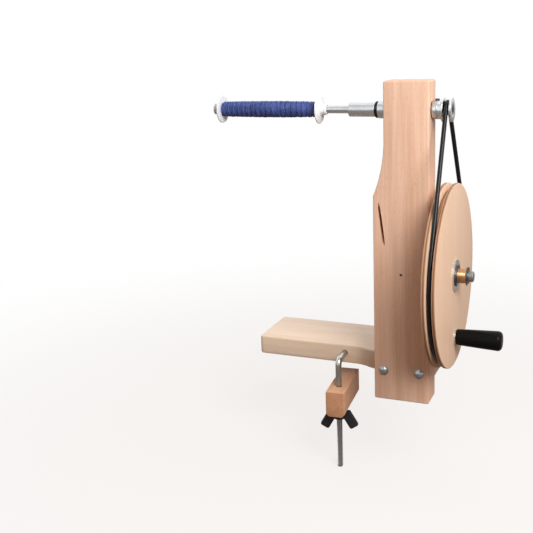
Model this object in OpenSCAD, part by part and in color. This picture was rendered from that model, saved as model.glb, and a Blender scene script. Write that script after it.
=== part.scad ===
// Hand-cranked bobbin winder that clamps to the edge of a bench.
// A large grooved wheel drives a small pulley through a round belt, and the
// pulley turns the spindle that carries the bobbin.
// Origin: middle of the base plate's underside, which rests on the bench top.
// +X runs along the spindle towards the wheel, +Y away from the operator, +Z up.

/* [Base plate] */
// Length of the base plate along the bench edge
base_l = 187; // [160:1:220]
// Depth of the base plate across the bench
base_d = 68; // [64:1:100]
// Thickness of the base plate
base_t = 19; // [16:0.5:24]
// Radius of the base plate's upright corners
base_corner_r = 4; // [1:0.5:8]
// How far the base plate's front edge lies behind the bench edge
base_setback = 8; // [4:0.5:12]
// Length of the curve in which the front edge sweeps out to the post
sweep_l = 28; // [20:1:34]

/* [Post] */
// Width of the post's lower part
post_w = 52.5; // [46:0.5:64]
// Thickness of the post from front to back
post_t = 26.5; // [25:0.5:36]
// Height of the post's top above the bench
post_top = 284.5; // [276:0.5:320]
// How far the post hangs below the bench top
post_drop = 18; // [10:1:30]
// Width of the post's neck
neck_w = 42; // [38:0.5:45]
// Height at which the neck's straight edge begins
neck_z = 232; // [215:1:240]
// Height of the flare between the neck and the lower part
flare_h = 53; // [40:1:60]
// Radius of the post's corners
post_corner_r = 1.5; // [1:0.5:6]
// Length of the yarn slot in the post's front face
kerf_l = 42; // [30:1:50]
// Width of the yarn slot
kerf_w = 2.6; // [1.5:0.1:4]
// Depth of the yarn slot at its middle
kerf_depth = 6; // [3:0.5:8]
// Height of the yarn slot's middle above the bench
kerf_z = 153; // [145:0.5:160]
// Lean of the yarn slot from upright
kerf_lean = 7.5; // [0:0.5:12]
// Distance of the yarn slot's middle from the post's left edge
kerf_inset = 8; // [6:0.5:10]

/* [Post screws] */
// Diameter of the domed screw heads
screw_head_d = 9.2; // [8:0.1:11]
// Height of the domed screw heads
screw_head_h = 3; // [2.4:0.1:4]
// Diameter of the screw shanks
screw_d = 4.5; // [3.5:0.5:5]
// Length of the screws under their heads
screw_l = 57; // [45:1:65]
// Distance of each screw from the middle of the post
screw_offset = 17; // [12:0.5:18]
// Height of the screws above the bench
screw_z = 11; // [8:0.5:12]

/* [Spindle] */
// Height of the spindle above the bench
spindle_z = 258; // [252:0.5:262]
// Diameter of the spindle where it runs in its bearings
journal_d = 8; // [8:0.5:8.5]
// Diameter of the spindle's sleeve
sleeve_d = 13.3; // [12:0.1:15]
// Length of the spindle's sleeve
sleeve_l = 25; // [20:0.5:32]
// Length of the bare nose between the sleeve and the bobbin
nose_bare_l = 22; // [12:0.5:30]
// Diameter of the tapered nose beside the sleeve
nose_root_d = 7.4; // [7:0.1:7.6]
// Diameter of the tapered nose at its tip
nose_tip_d = 6.4; // [5.6:0.1:6.8]
// Thickness of the rubber ring behind the sleeve
ring_cord_d = 2.8; // [2:0.1:3]
// Diameter of the land that the rubber ring sits on
ring_land_d = 9.8; // [9:0.1:10.5]
// Diameter of the collar beside the post
collar_d = 16; // [15:0.5:18]
// Length of the collar
collar_l = 7.4; // [6.5:0.1:12]
// Diameter of the grub screws in the collar and the pulley
grub_d = 4; // [3:0.5:4.5]

/* [Bearings] */
// Outside diameter of the ball bearings
bearing_d = 16; // [15.5:0.5:18]
// Width of the ball bearings
bearing_w = 5; // [4:0.5:6]
// Diameter of the balls
ball_d = 2.38; // [2:0.01:2.6]
// Number of balls in each bearing
ball_count = 10; // [8:1:12]

/* [Belt drive] */
// Diameter of the round belt
belt_d = 4; // [3.6:0.1:5]
// Distance of the belt's middle on the pulley from the post's right face
belt_x = 13.7; // [13.5:0.1:18]
// How far the wheel's groove lies to the right of the pulley's
belt_lean = 2; // [0:0.1:2.4]
// Radius of the belt's middle line on the pulley
pulley_pitch_r = 7; // [6.8:0.1:8]
// Radius of the belt's middle line on the wheel
wheel_pitch_r = 80.5; // [79:0.5:81]
// Diameter of the pulley's flanges
pulley_flange_d = 22; // [21:0.5:27]
// Thickness of the pulley's flanges at the rim
pulley_flange_t = 1.8; // [1.5:0.1:2.4]
// Diameter of the pulley's hub
pulley_hub_d = 17; // [15:0.1:18]

/* [Wheel] */
// Diameter of the wheel
wheel_d = 170; // [168:1:174]
// Thickness of the wheel
wheel_t = 12.4; // [10.4:0.1:13]
// How far the wheel's middle lies to the right of its groove
wheel_offset = -0.2; // [-0.8:0.1:1.2]
// Height of the wheel's axle above the bench
axle_z = 106; // [100:0.5:112]
// Radius of the wheel's rounded edges
wheel_edge_r = 0.7; // [0.5:0.1:1.6]
// Diameter of the wheel's axle
axle_d = 10; // [9:0.5:11]
// How far the axle reaches into the post
axle_depth = 40; // [32:1:46]
// Outside diameter of the bronze bush
bush_d = 13.4; // [13:0.1:14.5]
// How far the bush stands out of the wheel's front face
bush_stand = 10.4; // [8:0.1:12]
// Diameter of the zinc washer on the wheel's face
washer_d = 29.5; // [24:0.5:32]
// Thickness of that washer
washer_t = 1.5; // [1:0.1:2]
// Thickness of the two spring clips
clip_t = 1.2; // [0.8:0.1:1.5]
// How far the axle stands out beyond its clip
axle_stand = 4.9; // [3:0.1:7]

/* [Handle] */
// Distance of the handle from the wheel's centre
crank_r = 59; // [40:0.5:62]
// Length of the handle's grip
grip_l = 41.8; // [36:0.1:60]
// Diameter of the grip beside the wheel
grip_foot_d = 14.6; // [13.5:0.1:16]
// Diameter of the grip at its widest
grip_end_d = 18.5; // [17:0.1:21]
// Diameter of the pin inside the grip
grip_pin_d = 8; // [7:0.5:8]

/* [Clamp] */
// Diameter of the hook bolt
hook_d = 6; // [5:0.5:6.5]
// Height of the hook's leg above the bench
hook_z = 10.5; // [8:0.5:11]
// Distance of the hook's rod in front of the bench edge
hook_out = 12.5; // [12:0.5:18]
// Radius of the hook's bend along its middle line
hook_bend_r = 6.5; // [6:0.5:9]
// How far the hook's leg reaches into the base plate
hook_depth = 32; // [20:1:45]
// How far the rod hangs below the bench top
hook_drop = 103; // [85:1:130]
// Gap between base plate and clamp block, the thickness of the bench
bench_gap = 17; // [12:0.5:22]
// Width of the clamp block
block_w = 18.7; // [16:0.1:24]
// Length of the clamp block
block_l = 68; // [50:1:80]
// Height of the clamp block
block_h = 26; // [20:0.5:30]
// Distance from the block's front end to the rod
block_front = 17.5; // [14:0.5:24]
// Chamfer along the block's lower edges
block_chamfer = 3; // [1:0.5:4]
// How far the block is swung round the rod
block_turn = 5; // [-20:1:20]
// Distance of the wing tips' middle from the rod
wing_reach = 13; // [12:0.5:15]
// Width of each wing
wing_w = 9.6; // [8:0.1:11]
// Thickness of each wing
wing_t = 5; // [4:0.1:6]
// How far the wing nut is turned
wing_turn = 14; // [-90:1:90]

/* [Bobbin] */
// Length of the bobbin
bobbin_l = 117; // [106:1:140]
// Diameter of the bobbin's flanges
bobbin_flange_d = 27; // [22:0.5:34]
// Diameter of the bobbin's barrel under the yarn
barrel_d = 9.2; // [9:0.1:9.8]
// Diameter of the bobbin's end hubs
hub_d = 10.4; // [10:0.1:12]
// Length of each end hub outside its flange
hub_l = 5.6; // [5:0.1:12]
// Thickness of the flanges at the rim
flange_rim_t = 1.4; // [1:0.1:2]
// Thickness of the flanges at the barrel
flange_root_t = 3; // [2.4:0.1:4]

/* [Yarn] */
// Diameter of the wound yarn at the ends of the pack
pack_end_d = 15; // [14.6:0.1:17]
// How much wider the pack is at its middle
pack_bulge = 1.3; // [0.6:0.1:2]
// Thickness of the wound strand
strand_d = 1.8; // [1.4:0.1:2]
// Number of turns in the outer layer
yarn_turns = 20; // [16:1:24]

/* [Hidden] */

// Fine enough to count as round
$fn = 64;
// Overshoot of cutting shapes past the faces that they cut
over = 1;
// Radial clearance of shafts that turn or slide
running = 0.05;
// Clearance between parts that lie close without touching
near = 0.15;
// Clearance between faces that turn past each other
side_gap = 0.1;

// Colours as they appear on the object
beech = [0.86, 0.70, 0.56];
steel = [0.74, 0.75, 0.76];
zinc = [0.80, 0.82, 0.82];
dark_steel = [0.26, 0.26, 0.28];
bronze = [0.72, 0.47, 0.28];
black_plastic = [0.06, 0.06, 0.06];
rubber_black = [0.05, 0.05, 0.05];
white_plastic = [0.93, 0.94, 0.95];
yarn_blue = [0.16, 0.22, 0.48];

// Planes of the base plate and the post
base_front = -base_d / 2;
bench_edge = base_front - base_setback;
post_right = base_l / 2;
post_left = post_right - post_w;
post_mid = post_right - post_w / 2;
post_front = bench_edge - post_t;
axis_y = bench_edge - post_t / 2;
neck_left = post_right - neck_w;
neck_step = post_w - neck_w;
flare_r = (neck_step * neck_step + flare_h * flare_h) / (2 * neck_step);
sweep_end = post_left - post_corner_r - over;
sweep_start = sweep_end - sweep_l;
sweep_steps = 16;
kerf_r = (kerf_l * kerf_l / 4 + kerf_depth * kerf_depth) / (2 * kerf_depth);

// Bearings and the passage between them
passage_d = bearing_d - 3;
ball_pitch_r = (journal_d + bearing_d) / 4 + 0.1;
race_r = ball_d / 2 + running;
inner_ring_d = 2 * ball_pitch_r - ball_d * 0.82;
outer_ring_id = 2 * ball_pitch_r + ball_d * 0.82;

// Stations along the spindle, as X values
lip_t = 0.5;
lip_d = inner_ring_d - 1;
collar_end = neck_left - side_gap / 2;
collar_start = collar_end - collar_l;
ring_seat = ring_cord_d + 2 * side_gap;
sleeve_end = collar_start - ring_seat;
sleeve_start = sleeve_end - sleeve_l;
bobbin_end = sleeve_start - nose_bare_l;
bobbin_start = bobbin_end - bobbin_l;
nose_inside = bobbin_l - 4;
nose_tip = bobbin_end - nose_inside;
nose_slope = (nose_root_d - nose_tip_d) / (sleeve_start - nose_tip);
seat_d = journal_d - 2;
sleeve_chamfer = 1;

// Pulley stations
groove_r = belt_d / 2 + near;
groove_half = groove_r + 0.7;
belt_plane = post_right + belt_x;
wheel_plane = belt_plane + belt_lean;
pulley_start = post_right + side_gap / 2;
pulley_left_flange = belt_plane - groove_half - pulley_flange_t;
pulley_end = belt_plane + groove_half + pulley_flange_t;
end_screw_d = 3.5;
end_screw_l = 12;
end_screw_head_d = 9;
end_screw_head_h = 2.6;
end_screw_hex = 5;
shaft_end = pulley_end - end_screw_head_h;

// Wheel and axle stations
wheel_back = wheel_plane - wheel_t / 2 + wheel_offset;
wheel_front = wheel_back + wheel_t;
bush_flange_t = 3.5;
bush_flange_d = bush_d + 8.6;
bush_start = wheel_back - bush_flange_t;
bush_end = wheel_front + bush_stand;
washer_end = wheel_front + washer_t;
axle_clip_start = bush_end + 2 * side_gap;
axle_end = axle_clip_start + clip_t + axle_stand;
axle_start = post_right - axle_depth;
clip_groove = 0.7;
bush_clip_d = bush_d + 6.6;
axle_clip_d = axle_d + 7;
spacer_d = axle_d + 6;
lock_pin_d = 3;
lock_pin_recess = 1.5;
lock_pin_depth = axle_d / 2;
axle_chamfer = 0.8;

// Handle stations
grip_thread_d = grip_pin_d - 2;
handle_washer_t = 1.5;
grip_start = wheel_front + handle_washer_t + side_gap;
grip_end = grip_start + grip_l;
grip_round = 4;
grip_bore_depth = grip_l - 7;
pin_head_t = 3;
pin_head_extra = 0.8;
handle_z = axle_z - crank_r;
nut_flats = 10;
nut_t = 4;
nut_across = nut_flats / cos(30);

// Belt geometry: the angle between the belt's runs and the line of centres, and its facets
centre_gap = spindle_z - axle_z;
belt_angle = asin((wheel_pitch_r - pulley_pitch_r) / centre_gap);
pulley_steps = 12;
wheel_steps = 48;
belt_sides = 10;

// Clamp stations
rod_y = bench_edge - hook_out;
block_top = -bench_gap;
block_bottom = block_top - block_h;
wing_root = wing_reach - 5.5;
wing_lean = 30;
wing_l = 15.5;
wing_overlap = 4;
wing_corner_r = 2;
wing_drop = 3.5;
nut_hub_d = 12.4;
nut_hub_h = 8;
insert_d = 8.4;
insert_h = 6.5;

// Yarn pack
flange_left = bobbin_start + hub_l;
flange_right = bobbin_end - hub_l;
pack_start = flange_left + flange_root_t + near;
pack_end = flange_right - flange_root_t - near;
pack_l = pack_end - pack_start;
core_end_r = pack_end_d / 2 - strand_d - near;
core_bulge = pack_bulge / 2;
core_steps = 8;
rings_per_turn = 24;
strand_sides = 6;
wind_margin = strand_d;
wind_l = pack_l - 2 * wind_margin - strand_d;

// Turns the local Z axis on to +X; local X then points down
module along_x() {
    rotate([0, 90, 0]) children();
}

// Places a turned part on the spindle's axis with its start at x
module on_spindle(x) {
    translate([x, axis_y, spindle_z]) along_x() children();
}

// Places a turned part on the wheel's axle with its start at x
module on_axle(x) {
    translate([x, axis_y, axle_z]) along_x() children();
}

// Places a turned part on the handle's axis with its start at x
module on_handle(x) {
    translate([x, axis_y, handle_z]) along_x() children();
}

// Flat ring or tube standing on the XY plane
module tube(od, id, h) {
    difference() {
        cylinder(d = od, h = h);
        translate([0, 0, -over]) cylinder(d = id, h = h + 2 * over);
    }
}

// Cylinder with a chamfer at both ends
module chamfered_rod(d, h, c) {
    rotate_extrude()
        polygon([[0, 0], [d / 2 - c, 0], [d / 2, c], [d / 2, h - c], [d / 2 - c, h], [0, h]]);
}

// Rectangle with its corner at the origin and true round corners
module round_rect(w, h, r) {
    translate([r, 0]) square([w - 2 * r, h]);
    translate([0, r]) square([w, h - 2 * r]);
    for (x = [r, w - r], y = [r, h - r])
        translate([x, y]) circle(r);
}

// Domed screw head that stands on the XY plane, with a hexagon socket
module dome_head(d, h, socket) {
    rim = 0.4;
    rise = h - rim;
    dome_r = (d * d / 4 + rise * rise) / (2 * rise);
    difference() {
        intersection() {
            translate([0, 0, h - dome_r]) sphere(dome_r);
            cylinder(d = d, h = h);
        }
        translate([0, 0, h / 2]) cylinder(d = socket, h = h, $fn = 6);
    }
}

// Outline of the base plate seen from above. Its front edge eases out in an S-curve to a
// tongue that meets the back of the post.
module base_plan() {
    inside = base_front + 2 * base_corner_r;
    translate([-base_l / 2, base_front]) round_rect(base_l, base_d, base_corner_r);
    polygon(concat([[post_right, inside], [sweep_start, inside]],
        [for (i = [0 : sweep_steps]) let (share = i / sweep_steps)
            [sweep_start + sweep_l * share, base_front - base_setback * (1 - cos(180 * share)) / 2]],
        [[post_right, bench_edge]]));
}

module base_plate() {
    color(beech) difference() {
        linear_extrude(base_t) base_plan();
        // Socket for the hook's leg
        translate([0, base_front - over, hook_z]) rotate([-90, 0, 0])
            cylinder(d = hook_d + 2 * running, h = hook_depth + over + near);
        // Pilot holes of the post's screws
        for (side = [-1, 1])
            translate([post_mid + side * screw_offset, bench_edge - over, screw_z])
                rotate([-90, 0, 0]) cylinder(d = screw_d, h = screw_l - post_t + over);
    }
}

// Outline of the post seen from the front
module post_outline() {
    difference() {
        translate([post_left, -post_drop])
            round_rect(post_w, post_top + post_drop, post_corner_r);
        translate([post_left - over, neck_z])
            square([neck_step + over, post_top - neck_z + over]);
        translate([neck_left - flare_r, neck_z]) circle(flare_r, $fn = 180);
        // Rounds the neck's upper corner
        difference() {
            translate([neck_left - over, post_top - post_corner_r])
                square([post_corner_r + over, post_corner_r + over]);
            translate([neck_left + post_corner_r, post_top - post_corner_r])
                circle(post_corner_r);
        }
    }
}

module post() {
    color(beech) difference() {
        translate([0, bench_edge, 0]) rotate([90, 0, 0]) linear_extrude(post_t) post_outline();
        // Bearing seats and the passage between them
        on_spindle(neck_left - over) cylinder(d = bearing_d, h = bearing_w + over);
        on_spindle(post_right - bearing_w) cylinder(d = bearing_d, h = bearing_w + over);
        on_spindle(neck_left) cylinder(d = passage_d, h = neck_w);
        // Blind hole of the wheel's axle and the cross hole of its locking pin
        on_axle(axle_start) cylinder(d = axle_d, h = axle_depth + over);
        translate([post_mid, post_front - over, axle_z]) rotate([-90, 0, 0])
            cylinder(d = lock_pin_d, h = post_t / 2 + over);
        // Screw holes
        for (side = [-1, 1])
            translate([post_mid + side * screw_offset, post_front - over, screw_z])
                rotate([-90, 0, 0]) cylinder(d = screw_d, h = post_t + 2 * over);
        // Yarn slot, plunged with a round cutter
        translate([post_left + kerf_inset, post_front - kerf_r + kerf_depth, kerf_z])
            rotate([0, -kerf_lean, 0]) along_x()
                cylinder(r = kerf_r, h = kerf_w, center = true, $fn = 120);
    }
}

module post_screws() {
    color(steel) for (side = [-1, 1])
        translate([post_mid + side * screw_offset, post_front, screw_z]) {
            rotate([90, 0, 0]) dome_head(screw_head_d, screw_head_h, screw_head_d * 0.36);
            rotate([-90, 0, 0]) cylinder(d = screw_d, h = screw_l);
        }
}

// Ring of a ball bearing with its raceway, from inner to outer diameter
module race_ring(id, od) {
    rotate_extrude() difference() {
        translate([id / 2, 0]) square([(od - id) / 2, bearing_w]);
        translate([ball_pitch_r, bearing_w / 2]) circle(race_r);
    }
}

// Repeats a part at both bearings
module at_bearings() {
    for (x = [neck_left, post_right - bearing_w]) on_spindle(x) children();
}

module bearing_outer_rings() {
    color(steel) at_bearings() race_ring(outer_ring_id, bearing_d);
}

module bearing_balls() {
    color(steel) at_bearings() for (i = [0 : ball_count - 1])
        rotate([0, 0, i * 360 / ball_count]) translate([ball_pitch_r, 0, bearing_w / 2])
            sphere(d = ball_d);
}

module bearing_inner_rings() {
    color(steel) at_bearings() race_ring(journal_d, inner_ring_d);
}

// Turned outline of the spindle: radius against X, measured from the nose tip
module spindle_profile() {
    polygon([[0, 0],
        [nose_tip_d / 2 - sleeve_chamfer, 0],
        [nose_tip_d / 2, sleeve_chamfer],
        [nose_root_d / 2, sleeve_start - nose_tip],
        [sleeve_d / 2 - sleeve_chamfer, sleeve_start - nose_tip],
        [sleeve_d / 2, sleeve_start - nose_tip + sleeve_chamfer],
        [sleeve_d / 2, sleeve_end - nose_tip],
        [ring_land_d / 2, sleeve_end - nose_tip],
        [ring_land_d / 2, collar_start - nose_tip],
        [journal_d / 2, collar_start - nose_tip],
        [journal_d / 2, post_right - nose_tip],
        [seat_d / 2, post_right - nose_tip],
        [seat_d / 2, shaft_end - nose_tip],
        [0, shaft_end - nose_tip]]);
}

module spindle_shaft() {
    color(steel) difference() {
        on_spindle(nose_tip) rotate_extrude() spindle_profile();
        on_spindle(pulley_end - end_screw_l) cylinder(d = end_screw_d, h = end_screw_l);
    }
}

module spindle_ring() {
    color(rubber_black) on_spindle(sleeve_end + ring_seat / 2) rotate_extrude()
        translate([ring_land_d / 2 + side_gap + ring_cord_d / 2, 0]) circle(d = ring_cord_d);
}

// Radial hole for a grub screw, pointing up from the spindle's axis at x
module grub_hole(x, top_r) {
    translate([x, axis_y, spindle_z]) cylinder(d = grub_d, h = top_r + over);
}

// Grub screw between two radii above the spindle's axis at x
module grub_screw(x, bottom_r, top_r) {
    translate([x, axis_y, spindle_z + bottom_r]) difference() {
        cylinder(d = grub_d, h = top_r - bottom_r);
        translate([0, 0, top_r - bottom_r - 1.6]) cylinder(d = grub_d / 2, h = 2 + over, $fn = 6);
    }
}

module spindle_collar() {
    color(steel) difference() {
        union() {
            on_spindle(collar_start) chamfered_rod(collar_d, collar_l - lip_t, 0.5);
            on_spindle(collar_end - lip_t - over) cylinder(d = lip_d, h = lip_t + over);
        }
        on_spindle(collar_start - over) cylinder(d = journal_d, h = collar_l + 2 * over);
        grub_hole(collar_start + collar_l / 2, collar_d / 2);
    }
}

module collar_grub_screw() {
    color(dark_steel) grub_screw(collar_start + collar_l / 2, journal_d / 2, collar_d / 2 - 0.3);
}

// Turned outline of the pulley: radius against X, measured from its start
module pulley_profile() {
    difference() {
        union() {
            translate([seat_d / 2, 0]) square([(lip_d - seat_d) / 2, lip_t + over]);
            translate([seat_d / 2, lip_t])
                square([(pulley_hub_d - seat_d) / 2, pulley_left_flange - pulley_start]);
            translate([seat_d / 2, pulley_left_flange - pulley_start])
                square([(pulley_flange_d - seat_d) / 2, pulley_end - pulley_left_flange]);
        }
        // Round-bottomed groove that opens out towards the rim
        translate([pulley_pitch_r, belt_plane - pulley_start]) circle(groove_r);
        translate([0, belt_plane - pulley_start])
            polygon([[pulley_pitch_r, -groove_r], [pulley_flange_d / 2 + over, -groove_half],
                [pulley_flange_d / 2 + over, groove_half], [pulley_pitch_r, groove_r]]);
    }
}

module pulley() {
    color(zinc) difference() {
        on_spindle(pulley_start) rotate_extrude() pulley_profile();
        on_spindle(shaft_end) cylinder(d = end_screw_head_d, h = end_screw_head_h + over);
        grub_hole((pulley_start + pulley_left_flange) / 2, pulley_hub_d / 2);
    }
}

module pulley_grub_screw() {
    color(dark_steel)
        grub_screw((pulley_start + pulley_left_flange) / 2, seat_d / 2, pulley_hub_d / 2 + 1.4);
}

module pulley_end_screw() {
    color(zinc) difference() {
        union() {
            on_spindle(shaft_end) cylinder(d = end_screw_head_d, h = end_screw_head_h);
            on_spindle(pulley_end - end_screw_l) cylinder(d = end_screw_d, h = end_screw_l);
        }
        on_spindle(pulley_end - 2) cylinder(d = end_screw_hex / cos(30), h = 2 + over, $fn = 6);
    }
}

// Stations of the belt: height of the shaft, pitch radius, angle about that shaft,
// counted from +Y towards +Z, and X. The straight runs lie between the two arcs.
belt_stations = concat(
    [for (i = [0 : pulley_steps])
        [spindle_z, pulley_pitch_r, belt_angle + i * (180 - 2 * belt_angle) / pulley_steps,
            belt_plane]],
    [for (i = [0 : wheel_steps])
        [axle_z, wheel_pitch_r, 180 - belt_angle + i * (180 + 2 * belt_angle) / wheel_steps,
            wheel_plane]]);

// Triangles between one ring of points and the next of a swept tube
function skin(ring, next, sides) = [for (k = [0 : sides - 1])
    let (a = ring * sides + k,
        b = ring * sides + (k + 1) % sides,
        c = next * sides + k,
        d = next * sides + (k + 1) % sides)
    each [[a, c, d], [a, d, b]]];

// Endless round belt, swept once round both arcs
module drive_belt() {
    count = len(belt_stations);
    points = [for (s = belt_stations, k = [0 : belt_sides - 1])
        let (a = k * 360 / belt_sides,
            r = s[1] + belt_d / 2 * cos(a))
        [s[3] - belt_d / 2 * sin(a), axis_y + r * cos(s[2]), s[0] + r * sin(s[2])]];
    color(rubber_black)
        polyhedron(points, [for (i = [0 : count - 1]) each skin(i, (i + 1) % count, belt_sides)]);
}

// Turned outline of the wheel: radius against X, measured from its back face
module wheel_profile() {
    groove_x = wheel_plane - wheel_back;
    difference() {
        union() {
            translate([bush_d / 2, 0]) square([wheel_d / 4, wheel_t]);
            translate([wheel_d / 8, 0]) round_rect(wheel_d * 3 / 8, wheel_t, wheel_edge_r);
        }
        translate([wheel_pitch_r, groove_x]) circle(groove_r);
        translate([0, groove_x])
            polygon([[wheel_pitch_r, -groove_r], [wheel_d / 2 + over, -groove_half],
                [wheel_d / 2 + over, groove_half], [wheel_pitch_r, groove_r]]);
    }
}

module drive_wheel() {
    color(beech) difference() {
        on_axle(wheel_back) rotate_extrude($fn = 180) wheel_profile();
        // Hole of the handle's pin, with a recess for its nut at the back
        on_handle(wheel_back - over) cylinder(d = grip_thread_d, h = wheel_t + 2 * over);
        on_handle(wheel_back - over) cylinder(d = nut_across + 2 * near, h = nut_t + near + over);
    }
}

module wheel_bush() {
    color(bronze) difference() {
        union() {
            on_axle(bush_start) cylinder(d = bush_d, h = bush_end - bush_start);
            on_axle(bush_start) cylinder(d = bush_flange_d, h = bush_flange_t);
        }
        on_axle(bush_start - over) cylinder(d = axle_d + 2 * running, h = bush_end - bush_start + 2 * over);
        // Groove of the clip that holds the washer
        on_axle(washer_end) tube(bush_d + over, bush_d - 2 * clip_groove, clip_t);
    }
}

module wheel_washer() {
    color(zinc) on_axle(wheel_front) tube(washer_d, bush_d, washer_t);
}

// Spring clip that is pushed on from the side: a ring with an open mouth and two lugs
module side_clip(od, shaft_d) {
    groove_d = shaft_d - 2 * clip_groove;
    difference() {
        cylinder(d = od, h = clip_t);
        translate([0, 0, -over]) cylinder(d = groove_d, h = clip_t + 2 * over);
        // Open mouth
        translate([0, -groove_d * 0.4, -over]) cube([od, groove_d * 0.8, clip_t + 2 * over]);
        // Hollows between the three lugs that grip the groove
        for (a = [100, 260])
            rotate([0, 0, a]) translate([groove_d / 2, 0, -over])
                cylinder(d = groove_d * 0.42, h = clip_t + 2 * over);
    }
}

module bush_clip() {
    color(dark_steel) on_axle(washer_end) side_clip(bush_clip_d, bush_d);
}

module wheel_axle() {
    color(steel) difference() {
        on_axle(axle_start) chamfered_rod(axle_d, axle_end - axle_start, axle_chamfer);
        on_axle(axle_clip_start) tube(axle_d + over, axle_d - 2 * clip_groove, clip_t);
        // Hole that takes the end of the locking pin
        translate([post_mid, axis_y - axle_d, axle_z]) rotate([-90, 0, 0])
            cylinder(d = lock_pin_d, h = axle_d);
    }
}

module axle_spacer() {
    color(steel) on_axle(post_right) tube(spacer_d, axle_d, bush_start - post_right - side_gap);
}

module axle_clip() {
    color(dark_steel) on_axle(axle_clip_start) side_clip(axle_clip_d, axle_d);
}

module axle_lock_pin() {
    color(dark_steel) translate([post_mid, post_front + lock_pin_recess, axle_z])
        rotate([-90, 0, 0]) cylinder(d = lock_pin_d, h = axis_y - post_front - lock_pin_recess);
}

module handle_pin() {
    shank = grip_bore_depth - near + side_gap;
    color(steel) {
        on_handle(wheel_back) cylinder(d = grip_thread_d, h = wheel_t + handle_washer_t);
        on_handle(wheel_front + handle_washer_t) cylinder(d = grip_pin_d, h = shank);
        // Snap-in head that keeps the grip on its pin
        on_handle(wheel_front + handle_washer_t + shank - pin_head_t)
            cylinder(d = grip_pin_d + 2 * pin_head_extra, h = pin_head_t);
    }
}

module handle_nut() {
    color(zinc) on_handle(wheel_back) difference() {
        cylinder(d = nut_across, h = nut_t, $fn = 6);
        translate([0, 0, -over]) cylinder(d = grip_thread_d, h = nut_t + 2 * over);
    }
}

module handle_washer() {
    color(zinc) on_handle(wheel_front) tube(grip_foot_d - 0.4, grip_thread_d, handle_washer_t);
}

// Outline of the grip: radius against length, with a rounded outer end
module grip_profile() {
    end_r = grip_end_d / 2;
    foot_round = 1;
    polygon(concat(
        [[0, 0], [grip_foot_d / 2 - foot_round, 0], [grip_foot_d / 2, foot_round]],
        [for (a = [0 : 15 : 90])
            [end_r - grip_round + grip_round * cos(a), grip_l - grip_round + grip_round * sin(a)]],
        [[0, grip_l]]));
}

module handle_grip() {
    head_room = pin_head_t + 2 * near;
    color(black_plastic) difference() {
        on_handle(grip_start) rotate_extrude() grip_profile();
        on_handle(grip_start - over)
            cylinder(d = grip_pin_d + 2 * running, h = grip_bore_depth + over);
        on_handle(grip_start + grip_bore_depth + near - head_room)
            cylinder(d = grip_pin_d + 2 * pin_head_extra + 2 * running, h = head_room);
    }
}

module hook_bolt() {
    leg_start = rod_y + hook_bend_r;
    color(steel) {
        translate([0, rod_y, -hook_drop]) chamfered_end_rod();
        translate([0, leg_start, hook_z - hook_bend_r]) rotate([0, 0, -90]) rotate([90, 0, 0])
            rotate_extrude(angle = 90) translate([hook_bend_r, 0]) circle(d = hook_d);
        translate([0, leg_start, hook_z]) rotate([-90, 0, 0])
            cylinder(d = hook_d, h = base_front + hook_depth - leg_start);
    }
}

// Straight rod of the hook with an eased lower end
module chamfered_end_rod() {
    rod_l = hook_drop + hook_z - hook_bend_r;
    ease = 0.8;
    rotate_extrude() polygon([[0, 0], [hook_d / 2 - ease, 0], [hook_d / 2, ease],
        [hook_d / 2, rod_l], [0, rod_l]]);
}

module clamp_block() {
    half = block_w / 2;
    color(beech) translate([0, rod_y, 0]) rotate([0, 0, block_turn]) difference() {
        translate([0, block_l - block_front, 0]) rotate([90, 0, 0]) linear_extrude(block_l)
            polygon([[-half + block_chamfer, block_bottom], [half - block_chamfer, block_bottom],
                [half, block_bottom + block_chamfer], [half, block_top],
                [-half, block_top], [-half, block_bottom + block_chamfer]]);
        translate([0, 0, block_bottom - over])
            cylinder(d = hook_d + 2 * running, h = block_h + 2 * over);
    }
}

// One wing of the nut, drooping away from the hub
module wing() {
    translate([wing_root, wing_t / 2, -wing_drop]) rotate([90, 0, 0]) linear_extrude(wing_t)
        rotate(wing_lean - 90) translate([-wing_overlap, -wing_w / 2])
            round_rect(wing_l + wing_overlap, wing_w, wing_corner_r);
}

module wing_nut() {
    color(black_plastic) translate([0, rod_y, block_bottom]) rotate([0, 0, wing_turn])
        difference() {
            union() {
                translate([0, 0, -nut_hub_h]) cylinder(d = nut_hub_d, h = nut_hub_h);
                wing();
                mirror([1, 0, 0]) wing();
            }
            // Flat top that bears on the block
            translate([0, 0, 2 * over]) cube([4 * wing_reach, 4 * wing_reach, 4 * over], center = true);
            translate([0, 0, -nut_hub_h - over]) cylinder(d = insert_d, h = nut_hub_h + 2 * over);
        }
}

module wing_nut_insert() {
    color(steel) translate([0, rod_y, block_bottom - nut_hub_h])
        tube(insert_d, hook_d + 2 * running, insert_h);
}

// Radius of the nose at a given X
function nose_r(x) = nose_tip_d / 2 + nose_slope * (x - nose_tip) / 2;

// Turned outline of the bobbin: radius against X, measured from its left end.
// The flanges taper to their rims, and the bore tapers to jam on the nose.
module bobbin_profile() {
    hub_r = hub_d / 2;
    rim_r = bobbin_flange_d / 2;
    left = hub_l + flange_root_t;
    right = bobbin_l - left;
    polygon([[nose_r(bobbin_start) + running, 0], [hub_r, 0], [hub_r, hub_l],
        [rim_r, left - flange_rim_t], [rim_r, left], [barrel_d / 2, left],
        [barrel_d / 2, right], [rim_r, right], [rim_r, right + flange_rim_t],
        [hub_r, bobbin_l - hub_l], [hub_r, bobbin_l],
        [nose_r(bobbin_end) + running, bobbin_l]]);
}

module bobbin() {
    color(white_plastic) on_spindle(bobbin_start) rotate_extrude() bobbin_profile();
}

// Swell of the pack at a share of its length, from none at the ends
function swell(share) = core_bulge * (1 - pow(2 * share - 1, 2));

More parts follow.
